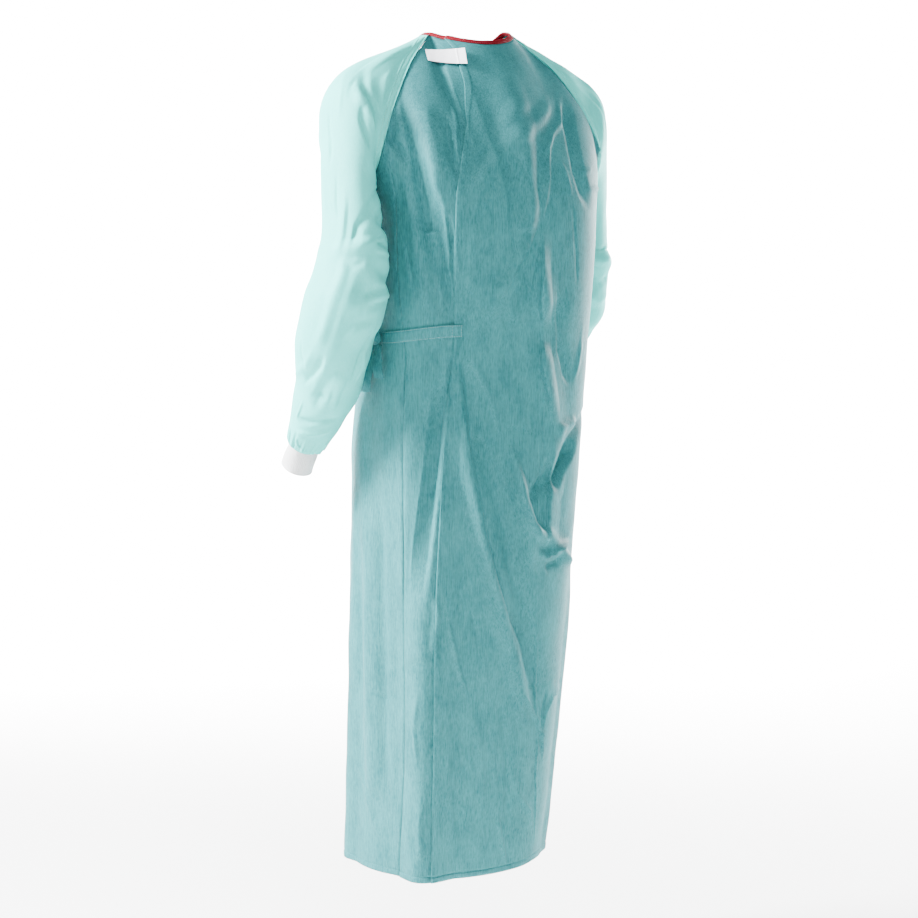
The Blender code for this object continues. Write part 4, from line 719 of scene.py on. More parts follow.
# The sleeves: pale mint nonwoven, cut in one with the shoulder, sewn to the body on slanting raglan
# seams whose allowance is turned under the sleeve and held by two rows of stitches, and gathered
# into the cuffs. Turns go round the arm in degrees: 0 outwards, 90 to the back.
Ring = namedtuple("Ring", "x y z half_side half_deep")
LEFT_ARM = [
    Ring(0.230, 0.054, -0.312, 0.043, 0.064), Ring(0.233, 0.058, -0.352, 0.049, 0.072),
    Ring(0.238, 0.062, -0.396, 0.056, 0.077),
    Ring(0.250, 0.056, -0.440, 0.060, 0.076), Ring(0.257, 0.032, -0.505, 0.056, 0.070),
    Ring(0.253, 0.006, -0.560, 0.049, 0.060), Ring(0.257, -0.024, -0.606, 0.041, 0.048),
    Ring(0.261, -0.045, -0.640, 0.034, 0.037), Ring(0.264, -0.056, -0.660, 0.0285, 0.0295),
]
RIGHT_ARM = [
    Ring(-0.240, -0.026, -0.312, 0.045, 0.062), Ring(-0.243, -0.032, -0.352, 0.049, 0.066),
    Ring(-0.247, -0.044, -0.398, 0.052, 0.067),
    Ring(-0.250, -0.072, -0.440, 0.055, 0.066), Ring(-0.246, -0.118, -0.468, 0.052, 0.062),
    Ring(-0.238, -0.168, -0.490, 0.047, 0.054), Ring(-0.226, -0.212, -0.508, 0.041, 0.046),
    Ring(-0.215, -0.250, -0.523, 0.034, 0.036), Ring(-0.209, -0.270, -0.530, 0.0285, 0.0295),
]
Cap = namedtuple("Cap", "middle top back")
LEFT_CAPS = [Cap(Point(0.2180, 0.016, -0.170), Point(0.012, -0.002, 0.092), Point(-0.006, 0.076, 0.004)),
             Cap(Point(0.2260, 0.034, -0.236), Point(0.036, 0.000, 0.046), Point(-0.002, 0.064, 0.004))]
RIGHT_CAPS = [Cap(Point(-0.2150, 0.018, -0.170), Point(-0.010, -0.002, 0.092), Point(0.006, 0.078, 0.004)),
              Cap(Point(-0.2300, -0.004, -0.236), Point(-0.036, 0.000, 0.046), Point(0.002, 0.062, 0.004))]
NECK_TURN, ARM_BACK_TURN, SEAM_EASE = 22.0, 116.0, 0.8
SleeveFold = namedtuple("SleeveFold", "ring turn slant half_width half_length height")
SLEEVE_FOLDS = [
    SleeveFold(0.7, 60, -20, 0.35, 55, -0.006), SleeveFold(3.0, 130, 30, 0.40, 60, -0.008),
    SleeveFold(4.0, 60, -30, 0.45, 60, 0.007), SleeveFold(4.8, 130, 25, 0.40, 60, -0.009),
    SleeveFold(5.6, 60, 20, 0.45, 70, 0.006), SleeveFold(6.6, 110, -25, 0.45, 70, -0.007),
    SleeveFold(4.4, 270, 25, 0.45, 60, -0.008), SleeveFold(6.0, 250, -20, 0.50, 70, 0.006),
    SleeveFold(7.4, 30, 20, 0.45, 80, -0.005),
]
SLEEVE_METRES_A_TURN, SLEEVE_METRES_A_RING = 0.00105, 0.050
# Creases of each sleeve, as for the body, but at (turn, ring)
LEFT_SLEEVE_CREASES = [
    # yoke: the fold that runs to the end of the raglan seam
    Crease(0.0099, 0.0041, 0.0040, 0.8, ((29.1, 1.08), (45.5, 1.15), (64.3, 1.08), (80.8, 1),
           (94.9, 0.93))),
    Crease(0.0049, 0.0132, -0.0045, 0.8, ((19.8, 0.79), (47.9, 0.88), (62, 0.88), (78.4, 0.78),
           (94.9, 0.63))),
    Crease(0.0049, 0.0049, -0.0025, 0.9, ((26.7, 0.96), (33.8, 1.15), (45.5, 1.15))),
    Crease(0.0049, 0.0049, 0.0020, 0.9, ((45.5, 1.23), (52.5, 1.08), (62, 0.96))),
    Crease(0.0115, 0.0083, -0.0055, 0.5, ((54.9, 1.15), (64.3, 1.31), (78.4, 1.38), (92.5, 1.46))),
    Crease(0.0066, 0.0066, 0.0020, 0.7, ((47.9, 0.47), (66.7, 0.54), (83.1, 0.6))),
    Crease(0.0041, 0.0041, -0.0018, 0.9, ((45.5, 0.31), (64.3, 0.38), (76.1, 0.55))),
    Crease(0.0049, 0.0083, 0.0020, 0.7, ((6.6, 0.96), (19.8, 1.23), (26.7, 1.62))),
    # upper arm
    Crease(0.0066, 0.0033, -0.0050, 0.9, ((-2.2, 1.46), (0, 1.77), (8.8, 2.08), (2.2, 2.23))),
    Crease(0.0041, 0.0041, -0.0025, 0.9, ((111.3, 1.23), (120.3, 1.77), (128.8, 2.15),
           (137.3, 2.69), (116, 3.23))),
    Crease(0.0149, 0.0066, -0.0050, 0.6, ((175.7, 1.15), (59.6, 3.15), (50.2, 4.31))),
    Crease(0.0083, 0.0132, 0.0035, 0.5, ((40.8, 2.46), (36.1, 3), (31.4, 4.38))),
    Crease(0.0049, 0.0049, -0.0020, 0.7, ((24.4, 2.31), (22, 2.62), (24.4, 2.92))),
    Crease(0.0058, 0.0058, -0.0040, 0.8, ((-13.2, 2.69), (6.6, 2.85), (31.4, 2.92))),
    Crease(0.0165, 0.0099, 0.0030, 0.4, ((73.7, 1.92), (162.9, 1.31), (85.5, 3.15))),
    # inner elbow: short folds pushed together
    Crease(0.0041, 0.0041, -0.0030, 0.9, ((133.1, 2.38), (116, 3.23), (141.6, 3.46), (141.6, 3.62))),
    Crease(0.0049, 0.0033, -0.0045, 0.9, ((92.5, 3.85), (116, 3.85), (141.6, 4))),
    Crease(0.0049, 0.0066, 0.0035, 0.8, ((90.2, 4.08), (111.3, 4.08), (141.6, 4.15))),
    Crease(0.0049, 0.0049, 0.0030, 0.8, ((124.5, 3.46), (104.2, 3.69), (94.9, 3.77))),
    Crease(0.0066, 0.0066, -0.0020, 0.6, ((36.1, 4.54), (54.9, 4.69), (76.1, 4.46))),
    Crease(0.0066, 0.0049, -0.0040, 0.7, ((76.1, 5.46), (92.5, 5.23), (128.8, 5.08))),
    Crease(0.0049, 0.0049, 0.0030, 0.8, ((78.4, 5.54), (99.5, 5.38), (150.1, 5.23))),
    Crease(0.0041, 0.0041, -0.0032, 0.9, ((85.5, 5.69), (106.6, 5.54), (145.9, 5.38))),
    Crease(0.0049, 0.0049, -0.0025, 0.8, ((64.3, 6.23), (80.8, 6), (109, 5.85))),
    Crease(0.0049, 0.0066, 0.0022, 0.7, ((69, 6.31), (85.5, 6.15), (109, 6))),
    Crease(0.0132, 0.0115, 0.0035, 0.4, ((43.2, 4.15), (38.5, 5.38), (36.1, 6.38), (26.7, 6.92))),
    Crease(0.0132, 0.0132, -0.0025, 0.4, ((76.1, 4.69), (69, 5.54), (66.7, 6.31), (59.6, 6.69))),
    # forearm: creases along the seam and round the back of the elbow
    Crease(0.0049, 0.0049, -0.0038, 0.9, ((128.8, 5.92), (116, 6.38), (106.6, 6.77), (92.5, 7.31))),
    Crease(0.0049, 0.0049, 0.0028, 0.9, ((137.3, 6.38), (116, 6.62), (116, 7), (104.2, 7.38))),
    Crease(0.0041, 0.0033, -0.0025, 0.9, ((101.9, 6.38), (113.7, 6.31), (141.6, 6.38))),
    Crease(0.0099, 0.0049, -0.0048, 0.8, ((11, 7.77), (29.1, 7.46), (43.2, 7.08), (45.5, 6.77))),
    Crease(0.0083, 0.0083, 0.0032, 0.7, ((-17.6, 7.92), (15.4, 7.23), (31.4, 6.77))),
    Crease(0.0149, 0.0149, -0.0045, 0.4, ((90.2, 6.85), (64.3, 7.15), (50.2, 7.69), (40.8, 8.38))),
    Crease(0.0099, 0.0083, 0.0032, 0.6, ((83.1, 7.08), (76.1, 7.62), (71.3, 8.23))),
    Crease(0.0049, 0.0049, -0.0028, 0.8, ((26.7, 8), (43.2, 7.85), (62, 7.85))),
    Crease(0.0041, 0.0049, 0.0022, 0.9, ((15.4, 8.31), (15.4, 8.69), (13.2, 9.08))),
    Crease(0.0041, 0.0041, -0.0022, 0.9, ((2.2, 6.77), (4.4, 7.08), (15.4, 7.38))),
    Crease(0.0115, 0.0058, -0.0050, 0.8, ((13.2, 9.08), (43.2, 8.92), (71.3, 8.62), (101.9, 8.46))),
    Crease(0.0066, 0.0083, 0.0042, 0.6, ((17.6, 9.62), (59.6, 9.31), (99.5, 8.85))),
    Crease(0.0041, 0.0041, -0.0025, 0.9, ((-2.2, 9.77), (0, 10.23), (17.6, 10.54))),
    Crease(0.0041, 0.0041, 0.0022, 0.9, ((24.4, 9.85), (36.1, 10.38), (57.2, 10.69))),
    # front of the arm, hidden in the photo
    Crease(0.010, 0.012, -0.0050, 0.4, ((250, 3.6), (276, 4.2), (300, 4.5))),
    Crease(0.010, 0.010, 0.0045, 0.5, ((240, 4.4), (262, 4.8), (290, 4.9))),
    Crease(0.012, 0.008, 0.0040, 0.4, ((300, 5.2), (292, 6.2), (282, 7.3))),
    Crease(0.008, 0.012, -0.0040, 0.4, ((230, 5.4), (240, 6.4), (238, 7.4))),
    Crease(0.010, 0.014, 0.0045, 0.3, ((282, 0.9), (290, 1.6), (288, 2.5))),
    Crease(0.010, 0.010, -0.0040, 0.4, ((306, 1.1), (312, 2.0), (310, 2.9))),
]
RIGHT_SLEEVE_CREASES = [
    Crease(0.010, 0.010, -0.0050, 0.5, ((60, 3.4), (84, 3.6), (112, 3.5))),
    Crease(0.008, 0.010, 0.0050, 0.6, ((54, 3.8), (82, 3.95), (116, 3.85))),
    Crease(0.008, 0.008, -0.0050, 0.6, ((50, 4.5), (82, 4.6), (118, 4.4))),
    Crease(0.010, 0.008, 0.0045, 0.5, ((44, 5.0), (76, 5.1), (112, 4.9))),
    Crease(0.010, 0.012, 0.0045, 0.4, ((22, 0.6), (28, 1.2), (26, 2.0))),
    Crease(0.008, 0.008, -0.0040, 0.5, ((46, 0.7), (60, 1.1), (80, 1.5))),
    Crease(0.010, 0.010, 0.0040, 0.4, ((-20, 1.0), (-16, 2.0), (-18, 3.0))),
    Crease(0.010, 0.012, -0.0050, 0.4, ((250, 3.8), (276, 4.4), (304, 4.6))),
    Crease(0.010, 0.010, 0.0045, 0.5, ((244, 4.6), (266, 5.0), (296, 5.1))),
    Crease(0.010, 0.010, -0.0040, 0.4, ((20, 5.8), (34, 6.6), (30, 7.6))),
    Crease(0.012, 0.008, 0.0045, 0.4, ((60, 5.9), (66, 6.9), (58, 7.9))),
    Crease(0.008, 0.010, -0.0040, 0.5, ((110, 5.6), (104, 6.6), (110, 7.6))),
    Crease(0.010, 0.008, 0.0040, 0.5, ((170, 5.4), (176, 6.6), (170, 7.8))),
    Crease(0.008, 0.012, -0.0040, 0.4, ((300, 6.0), (292, 7.0), (298, 8.2))),
    Crease(0.010, 0.012, 0.0040, 0.4, ((284, 1.0), (292, 1.8), (290, 2.6))),
    Crease(0.006, 0.006, -0.0035, 0.6, ((340, 3.3), (8, 3.6), (30, 3.5))),
]
Gather = namedtuple("Gather", "waves phase share")
GATHERS = [Gather(19, 0.4, 0.55), Gather(31, 1.7, 0.30), Gather(11, 2.9, 0.35)]
GATHER_RINGS, GATHER_HEIGHT, SEWN_END_RINGS = 1.9, 0.0030, 0.22
# The raglan band: its width, height, its ridge at the seam, its rows of stitches, and the columns of
# points along the back raglan, under the arm, along the front raglan and at the neck
TOPSTITCHED, BAND_HEIGHT, RIDGE_AT, STITCH_ROWS, PUCKER = 0.0115, 0.0017, 0.0013, (0.0032, 0.0094), 0.0004
BACK_COLUMNS, UNDER_COLUMNS, FRONT_COLUMNS, NECK_COLUMNS, SLEEVE_RINGS = 60, 36, 48, 30, 130
SEAM_STEPS = [0, 0.0007, 0.0013, 0.0020, 0.0026, 0.0032, 0.0042, 0.0060, 0.0080, 0.0088, 0.0094, 0.0100,
              0.0106, 0.0112, 0.0122, 0.0140]
Arm = namedtuple("Arm", "rings caps creases")
ARM = {1: Arm(LEFT_ARM, LEFT_CAPS, LEFT_SLEEVE_CREASES), -1: Arm(RIGHT_ARM, RIGHT_CAPS, RIGHT_SLEEVE_CREASES)}

mint_nonwoven = nonwoven("mint_nonwoven", (0.080, 0.560, 0.510), (0.150, 0.720, 0.670), 0.12)


def arm_frame(arm, number, side):
    """The middle of an arm ring and its two half axes, outwards and backwards."""
    ring = arm[number]
    run = unit(np.array(arm[min(number + 1, len(arm) - 1)][:3]) - np.array(arm[max(number - 1, 0)][:3]))
    outer = np.array([side, 0.0, 0.0])
    outer = unit(outer - run * (outer @ run))
    back = np.cross(outer, run) * side
    return np.array(ring[:3]), outer * ring.half_side, back * ring.half_deep


def round_arm(turns, middle, outer, back):
    """Points of an arm ring at turns round it."""
    c, s = np.cos(np.radians(turns)), np.sin(np.radians(turns))
    return np.array(middle) + np.outer(c, outer) + np.outer(s, back)


def sleeve_form(side):
    """The plain form of a sleeve: its points, the turns of its columns, the ring place of each point,
    the last ring, and how squarely each column leaves the seam."""
    arm, caps = ARM[side][:2]
    turns = spaced_out([(NECK_TURN, ARM_BACK_TURN, BACK_COLUMNS),
                        (ARM_BACK_TURN, 360 - ARM_BACK_TURN, UNDER_COLUMNS),
                        (360 - ARM_BACK_TURN, 360 - NECK_TURN, FRONT_COLUMNS),
                        (360 - NECK_TURN, 360 + NECK_TURN, NECK_COLUMNS)])[:-1]
    stations = side * spaced_out([(CHEST_BACK_JOINT, CHEST_ARM_BACK, BACK_COLUMNS),
                                  (CHEST_ARM_BACK, CHEST_ARM_FRONT, UNDER_COLUMNS),
                                  (CHEST_ARM_FRONT, CHEST_FRONT_JOINT, FRONT_COLUMNS)])
    neck = side * np.linspace(NECK_FRONT_JOINT, NECK_BACK_JOINT, NECK_COLUMNS + 1)[1:-1]
    rings = [round_arm(turns, *cap) for cap in caps]
    rings += [round_arm(turns, *arm_frame(arm, number, side)) for number in range(len(arm))]
    knots = np.stack([np.vstack([top_edge(stations), neck_edge(neck)])] + rings)
    straight = knots[1] - knots[0]
    normal = body_out(stations, np.zeros(len(stations)))
    leave = straight[:len(stations)]
    leave = unit(leave - normal * np.sum(leave * normal, axis=1, keepdims=True))
    leave = np.vstack([leave, neck_lean(neck)])
    ease = (SEAM_EASE * soft((np.abs(turns % 360 - 180) - 40) / 45))[:, None]
    slope = straight * (1 - ease) + leave * ease * np.linalg.norm(straight, axis=1, keepdims=True)
    ends = (knots[0], slope, knots[1], (knots[2] - knots[0]) / 2)
    fine = np.linspace(0, 1, 161)
    steps = np.linalg.norm(np.diff(np.stack([between(*ends, s) for s in fine]), axis=0), axis=2)
    run = np.vstack([np.zeros(len(turns)), np.cumsum(steps, axis=0)])
    seam_way = unit(np.roll(knots[0], -1, axis=0) - np.roll(knots[0], 1, axis=0))
    lean = np.linalg.norm(np.cross(seam_way, unit(between(*ends, 0.06) - knots[0])), axis=1).clip(0.35, 1)
    near = np.stack([np.interp(np.array(SEAM_STEPS) / lean[column], run[:, column], fine)
                     for column in range(len(turns))], axis=1)
    rest = near[-1] + (1 - near[-1]) * np.linspace(0, 1, 23)[1:-1, None]
    shares = np.vstack([near, rest])
    last = len(knots) - 1
    keyed = np.hstack([np.arange(last + 1)[:, None], knots.reshape(last + 1, -1)])
    rings_down = np.linspace(1, last, SLEEVE_RINGS + 1)
    rows = [between(*ends, share[:, None]) for share in shares]
    rows += [on_table(keyed, np.array(place)).reshape(-1, 3) for place in rings_down]
    place = np.vstack([shares, np.repeat(rings_down[:, None], len(turns), axis=1)])
    return np.stack(rows), turns, place, last, lean


def sleeve_rows(side):
    """The grid of a sleeve with its folds, and each point's distance from the raglan seam."""
    points, turns, place, last, lean = sleeve_form(side)
    middle = points.mean(axis=1, keepdims=True)
    away = unit(points - middle)
    total = np.zeros(points.shape[:2])
    for fold in SLEEVE_FOLDS:
        off_turn = (turns[None, :] - fold.turn + 180) % 360 - 180
        off_ring = place - fold.ring - fold.slant / 100 * off_turn / 60
        across = np.cos(np.pi / 2 * np.clip(off_ring / fold.half_width, -1, 1)) ** 2
        total += fold.height * across * np.cos(np.pi / 2 * np.clip(off_turn / fold.half_length, -1, 1)) ** 2
    for crease in ARM[side].creases:
        centre = np.mean([spot[0] for spot in crease.places])
        turn = (turns[None, :] - centre + 180) % 360 - 180 + centre
        spots = [(t * SLEEVE_METRES_A_TURN, r * SLEEVE_METRES_A_RING) for t, r in crease.places]
        total += line_rise(turn * SLEEVE_METRES_A_TURN + 0 * place, place * SLEEVE_METRES_A_RING,
                           *crease[:4], spots) * soft(place * 2.5)
    gathered = soft((place - last + GATHER_RINGS) / GATHER_RINGS) ** 1.5
    sewn = soft((place - last + SEWN_END_RINGS) / SEWN_END_RINGS)
    wave = sum(g.share * np.cos(np.radians(turns) * g.waves + g.phase + side) for g in GATHERS)
    total += GATHER_HEIGHT * gathered * (1 - 0.85 * sewn) * (wave[None, :] + 0.35)
    steps = np.linalg.norm(np.diff(points, axis=0), axis=2)
    from_seam = np.vstack([np.zeros(len(turns)), np.cumsum(steps, axis=0)]) * lean
    band = soft((TOPSTITCHED - from_seam) / 0.0009)
    band += 0.9 * np.exp(-((from_seam - RIDGE_AT) / 0.0012) ** 2)
    for row in STITCH_ROWS:
        band = band - 0.9 * np.exp(-((from_seam - row) / 0.0006) ** 2)
    band[:, turns > 360 - NECK_TURN] = 0.0
    pucker = np.sin(turns * 3.1 + 2 * np.sin(turns * 0.7))[None, :] * soft(1 - from_seam / 0.020)
    total += (BAND_HEIGHT * band + PUCKER * pucker) * soft(from_seam / 0.0008)
    total += cockle(points, 0.034, 0.0010) * soft(place * 3) * (1 - sewn)
    points = points + away * total[..., None]
    radius = np.linalg.norm(points - middle, axis=2, keepdims=True)
    points = points + away * sewn[..., None] * np.minimum(CUFF_START + 0.0007 - radius, 0.0)
    return points, from_seam


CUFF_START = 0.0245
SEAM_PATHS = {}
for side, word in ((1, "left"), (-1, "right")):
    rows, from_seam = sleeve_rows(side)
    sleeve = cloth("sleeve_%s_panel" % word, rows, mint_nonwoven, 0.0005, True, side < 0)
    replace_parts(sleeve, "sleeve_" + word)
    SEAM_PATHS[side] = (rows, from_seam)


# The topstitching of the raglan seams: two rows of fine pale thread, 3.5 mm a stitch, 3 mm and
# 9 mm from the seam on the sleeve's side, through the allowance that lies under it.
THREAD = 0.00042
STITCH, STITCH_GAP = 0.0026, 0.0009


def thread_finish(name, colour):
    """Spun thread: a twist along each stitch."""
    made, shader, place = finish_of(name)
    twist = place.stretched(2600, 2600, 2600).noise(1.0, 1.0, 0.5)
    pale = twist.ramp((0.3, tuple(0.8 * c for c in colour)), (0.7, colour))
    feed(shader, place, pale, twist * 0.1 + 0.5, twist, 0.0001)
    return made


def stitches(name, paths, finish, sunk=0.0):
    """Rows of stitches along paths of (points, directions out of the cloth)."""
    bm = bmesh.new()
    for points, out in paths:
        lengths = np.concatenate([[0.0], np.cumsum(np.linalg.norm(np.diff(points, axis=0), axis=1))])
        count = int(lengths[-1] / (STITCH + STITCH_GAP))
        for k in range(count):
            middle = (k + 0.5) * lengths[-1] / count
            ends = [np.array([np.interp(middle + s * STITCH / 2, lengths, points[:, i]) for i in range(3)])
                    for s in (-1, 1)]
            up = unit(np.array([np.interp(middle, lengths, out[:, i]) for i in range(3)]))
            run = unit(ends[1] - ends[0])
            aside = np.cross(up, run)
            spot = (ends[0] + ends[1]) / 2 + up * (THREAD * 0.3 - sunk)
            turned = np.eye(4)
            turned[:3, 0], turned[:3, 1] = run * STITCH / 2, aside * THREAD * 0.8
            turned[:3, 2], turned[:3, 3] = np.cross(run, aside) * THREAD * 0.8, spot
            bmesh.ops.create_icosphere(bm, subdivisions=1, radius=1.0, matrix=Matrix(turned.tolist()))
    return new_piece(name, bm, finish)


def at_distance(rows, from_seam, out, metres, columns):
    """Points and directions at a distance from the seam, on some of a sleeve's columns."""
    points, ups = [], []
    for c in columns:
        points.append([np.interp(metres, from_seam[:, c], rows[:, c, i]) for i in range(3)])
        ups.append([np.interp(metres, from_seam[:, c], out[:, c, i]) for i in range(3)])
    return np.array(points), unit(np.array(ups))


mint_thread = thread_finish("mint_thread", (0.30, 0.62, 0.58))
for side, word in ((1, "left"), (-1, "right")):
    rows, from_seam = SEAM_PATHS[side]
    out = out_of_grid(rows, closed=True) * -side
    front_start = BACK_COLUMNS + UNDER_COLUMNS
    raglans = [range(1, BACK_COLUMNS + 1), range(front_start, front_start + FRONT_COLUMNS)]
    paths = [at_distance(rows, from_seam, out, metres, columns)
             for metres in STITCH_ROWS for columns in raglans]
    stitches("raglan_stitches_" + word, paths, mint_thread)


# The cuffs: tubes of white rib knit, doubled, with the fold at the wrist. Their raw ends are caught
# in the seam at the sleeve's gathered end.
CUFF_LENGTH, CUFF_INSERT, CUFF_END = 0.046, 0.004, 0.0258
RIBS, RIB_HEIGHT = 56, 0.00035


def knit_finish():
    """White cotton rib knit: columns of small loops, with a little fluff, and painted shade in the gaps
    between the loops.
    """
    made, shader, place = finish_of("white_rib_knit")
    loops = place.made("ShaderNodeTexVoronoi", {"feature": "F1"},
                       {"Vector": place.stretched(1500, 1500, 900), "Scale": 1.0})
    fluff = place.stretched(2400, 2400, 2400).noise(1.0, 2.0, 0.6)
    # The colour darkens towards each loop's edge, where the bump sinks: painted shade in the gaps between the
    # loops.
    shade = (loops * 0.7 + fluff * 0.3).ramp((0.1, (0.88, 0.89, 0.89)), (0.9, (0.74, 0.76, 0.77)))
    feed(shader, place, shade, fluff * 0.1 + 0.8, fluff * 0.4 - loops, 0.0004)
    shader.inputs["Sheen Weight"].default_value = 0.3
    return made


white_knit = knit_finish()
for side, word in ((1, "left"), (-1, "right")):
    arm = ARM[side][0]
    centre, outer, back = arm_frame(arm, len(arm) - 1, side)
    run = unit(np.array(arm[-1][:3]) - np.array(arm[-2][:3]))
    turns = np.arange(RIBS * 4) * 90.0 / RIBS
    rows = []
    for share in np.linspace(0, 1, 34):
        radius = CUFF_START + (CUFF_END - CUFF_START) * soft(share * 1.5) + 0.0006 * soft(share * 12 - 11)
        rib = RIB_HEIGHT * np.cos(np.radians(turns) * RIBS) * soft(share * 10)
        rib = rib * (1 - 0.6 * soft(share * 14 - 13))
        dent = 0.0006 * np.sin(np.radians(turns) * 3 + share * 5) * soft(share * 2)
        level = centre + run * (CUFF_LENGTH * share - CUFF_INSERT)
        ring = round_arm(turns, (0, 0, 0), unit(outer), unit(back))
        rows.append(ring * (radius + rib + dent)[:, None] + level)
    cuff = cloth("cuff_%s_knit" % word, np.stack(rows), white_knit, 0.0018, True, side < 0)
    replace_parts(cuff, "cuff_" + word)


# The neck binding: a crimson bias strip, folded in three over the raw neck edge, standing on the
# seam and sewn through near its lower edge. It runs on with both laps, so its end shows as a step.
BINDING_HEIGHT, BINDING_THICK, BODY_WALL = 0.009, 0.0024, 0.0010
FLAT_ACROSS = [(-0.80, 0.0000), (-0.98, 0.0008), (-0.72, 0.0022), (-1.00, 0.0038), (-1.06, 0.0058),
               (-0.95, 0.0074), (-0.62, 0.0085), (0.00, 0.0090), (0.62, 0.0085), (0.95, 0.0074),
               (1.06, 0.0058), (1.00, 0.0038), (0.72, 0.0022), (0.98, 0.0008), (0.80, 0.0000)]


def bias_strip(name, colour):
    """Woven cotton on the cross: fine slanting threads."""
    made, shader, place = finish_of(name)
    threads = place.stretched(1900, 1900, 1500).noise(1.0, 1.0, 0.5)
    cloudy = place.stretched(90, 90, 90).noise(1.0, 3.0, 0.6)
    shade = (threads * 0.6 + cloudy * 0.4).ramp((0.32, tuple(0.62 * c for c in colour)), (0.68, colour))
    feed(shader, place, shade, cloudy * 0.1 + 0.62, threads, 0.0002)
    shader.inputs["Specular IOR Level"].default_value = 0.10
    return made


def evenly(points, pitch):
    """Points at an even pitch along a path."""
    lengths = np.concatenate([[0.0], np.cumsum(np.linalg.norm(np.diff(points, axis=0), axis=1))])
    marks = np.linspace(0, lengths[-1], int(lengths[-1] / pitch) + 1)
    return np.column_stack([np.interp(marks, lengths, points[:, i]) for i in range(3)]), marks


under_lap = np.linspace(HIDDEN_EDGE[0].angle, CHEST_BACK_JOINT, 60)
lap_top = under_lap * 0
under_drop = underlap_drop(under_lap, lap_top)[:, None]
over_front = np.linspace(CHEST_FRONT_JOINT, 180, 30)
neck_line = np.vstack([
    body_point(under_lap, lap_top) - body_out(under_lap, lap_top) * under_drop,
    neck_edge(np.linspace(NECK_BACK_JOINT, NECK_FRONT_JOINT, 40)[1:-1]),
    top_edge(over_front), top_edge(-over_front[-2::-1]),
    neck_edge(-np.linspace(NECK_FRONT_JOINT, NECK_BACK_JOINT, 40)[1:-1]),
    top_edge(np.linspace(-CHEST_BACK_JOINT, FREE_EDGE[0].angle, 60))])
neck_line, neck_marks = evenly(neck_line, 0.0016)
neck_run = unit(np.gradient(neck_line, axis=0))
leans = neck_lean(np.degrees(np.arctan2(neck_line[:, 0], neck_line[:, 1])))
neck_down = unit(leans - neck_run * np.sum(leans * neck_run, axis=1, keepdims=True))
neck_out = unit(np.cross(neck_run, neck_down))
binding_rows = []
for across, up in FLAT_ACROSS:
    pull = np.sin(neck_marks * 2 * np.pi / 0.0065 + up * 420) * 0.00016 + np.sin(neck_marks * 310) * 0.00010
    wide = across * BINDING_THICK / 2 + np.sign(across) * pull
    waver = 0.00022 * np.sin(neck_marks * 190) + 0.00015 * np.sin(neck_marks * 71)
    high = up + 0.0002 + waver * up / BINDING_HEIGHT
    middle = neck_line - neck_out * BODY_WALL / 2
    binding_rows.append(middle + neck_out * wide[:, None] - neck_down * high[:, None])
crimson = bias_strip("crimson_bias_strip", (0.170, 0.003, 0.011))
binding = cloth("neck_binding_strip", np.stack(binding_rows), crimson, 0.0004)
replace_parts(binding, "neck_binding")
crimson_thread = thread_finish("crimson_thread", (0.30, 0.02, 0.03))
sewn_at = neck_line + neck_out * (BINDING_THICK * 0.36 - BODY_WALL / 2) - neck_down * 0.0024
binding_stitches = stitches("neck_stitches", [(sewn_at, neck_out)], crimson_thread)


# The closure tab: a bare strip of white tape that holds the overlap shut below the neck, creased
# where it steps down over the free edge.
TAB_LIFT = 0.0004
TabEnd = namedtuple("TabEnd", "angle level_top level_bottom")
TAB_RIGHT, TAB_LEFT = TabEnd(11.2, 0.057, 0.159), TabEnd(33.9, 0.048, 0.128)
LAP_STEP_GAP, LAP_STEP_TURN = 0.6, 5.0


def on_back(angle, level, lift):
    """Points above whichever back panel is outermost, and the directions out of it."""
    edge = on_table(FREE_EDGE, rough_down(level))[..., 0]
    covered = soft((angle - edge - LAP_STEP_GAP) / LAP_STEP_TURN)
    points, out = body_point(angle, level), body_out(angle, level)
    rise = body_rise(points, angle, level) - underlap_drop(angle, level) * covered + lift
    return points + out * rise[..., None], out


def smoothed(rise, share, drop):
    """A calm sheet of tape over this relief: it bends once along and once across, and clears every top."""
    parts = np.stack([np.ones_like(share), share, drop, share * drop, share ** 2], axis=-1).reshape(-1, 5)
    calm = parts @ np.linalg.lstsq(parts, rise.ravel(), rcond=None)[0]
    calm = calm.reshape(rise.shape)
    return calm + np.max(rise - calm)


def smooth_tape(name):
    """White nonwoven tape: nearly smooth, faintly fibrous."""
    made, shader, place = finish_of(name)
    fibre = place.stretched(700, 700, 160).noise(1.0, 3.0, 0.6)
    cloudy = place.stretched(60, 60, 60).noise(1.0, 3.0, 0.6)
    white = (fibre * 0.5 + cloudy * 0.5).ramp((0.3, (0.80, 0.80, 0.86)), (0.7, (0.92, 0.92, 0.97)))
    feed(shader, place, white, cloudy * 0.15 + 0.42, fibre, 0.00006)
    return made


tab_share, tab_drop = np.meshgrid(np.linspace(0, 1, 81), np.linspace(0, 1, 33))
corner_angles = np.array([TAB_RIGHT.angle, TAB_LEFT.angle, TAB_RIGHT.angle, TAB_LEFT.angle])
corner_levels = np.array([TAB_RIGHT.level_top, TAB_LEFT.level_top, TAB_RIGHT.level_bottom,
                          TAB_LEFT.level_bottom])
corners = on_back(corner_angles, corner_levels, 0.0)[0]
right_end, left_end = (corners[k] + (corners[k + 2] - corners[k]) * tab_drop[..., None] for k in (0, 1))
tab_flat = right_end + (left_end - right_end) * tab_share[..., None]
tab_along, tab_down = unit(corners[1] - corners[0]), unit(corners[2] - corners[0])
tab_out = unit(np.cross(tab_down, tab_along))
tab_out = tab_out * np.sign(tab_out @ body_out(np.array([20.0]), np.array([0.1]))[0])
near_angles, near_levels = np.meshgrid(np.linspace(5, 50, 181), np.linspace(0, 0.26, 105))
nearby = on_back(near_angles.ravel(), near_levels.ravel(), 0.0)[0]
below = np.stack([(nearby - corners[0]) @ way for way in (tab_along, tab_down, tab_out)], axis=1)
spots = np.stack([(tab_flat - corners[0]) @ way for way in (tab_along, tab_down)], axis=-1)
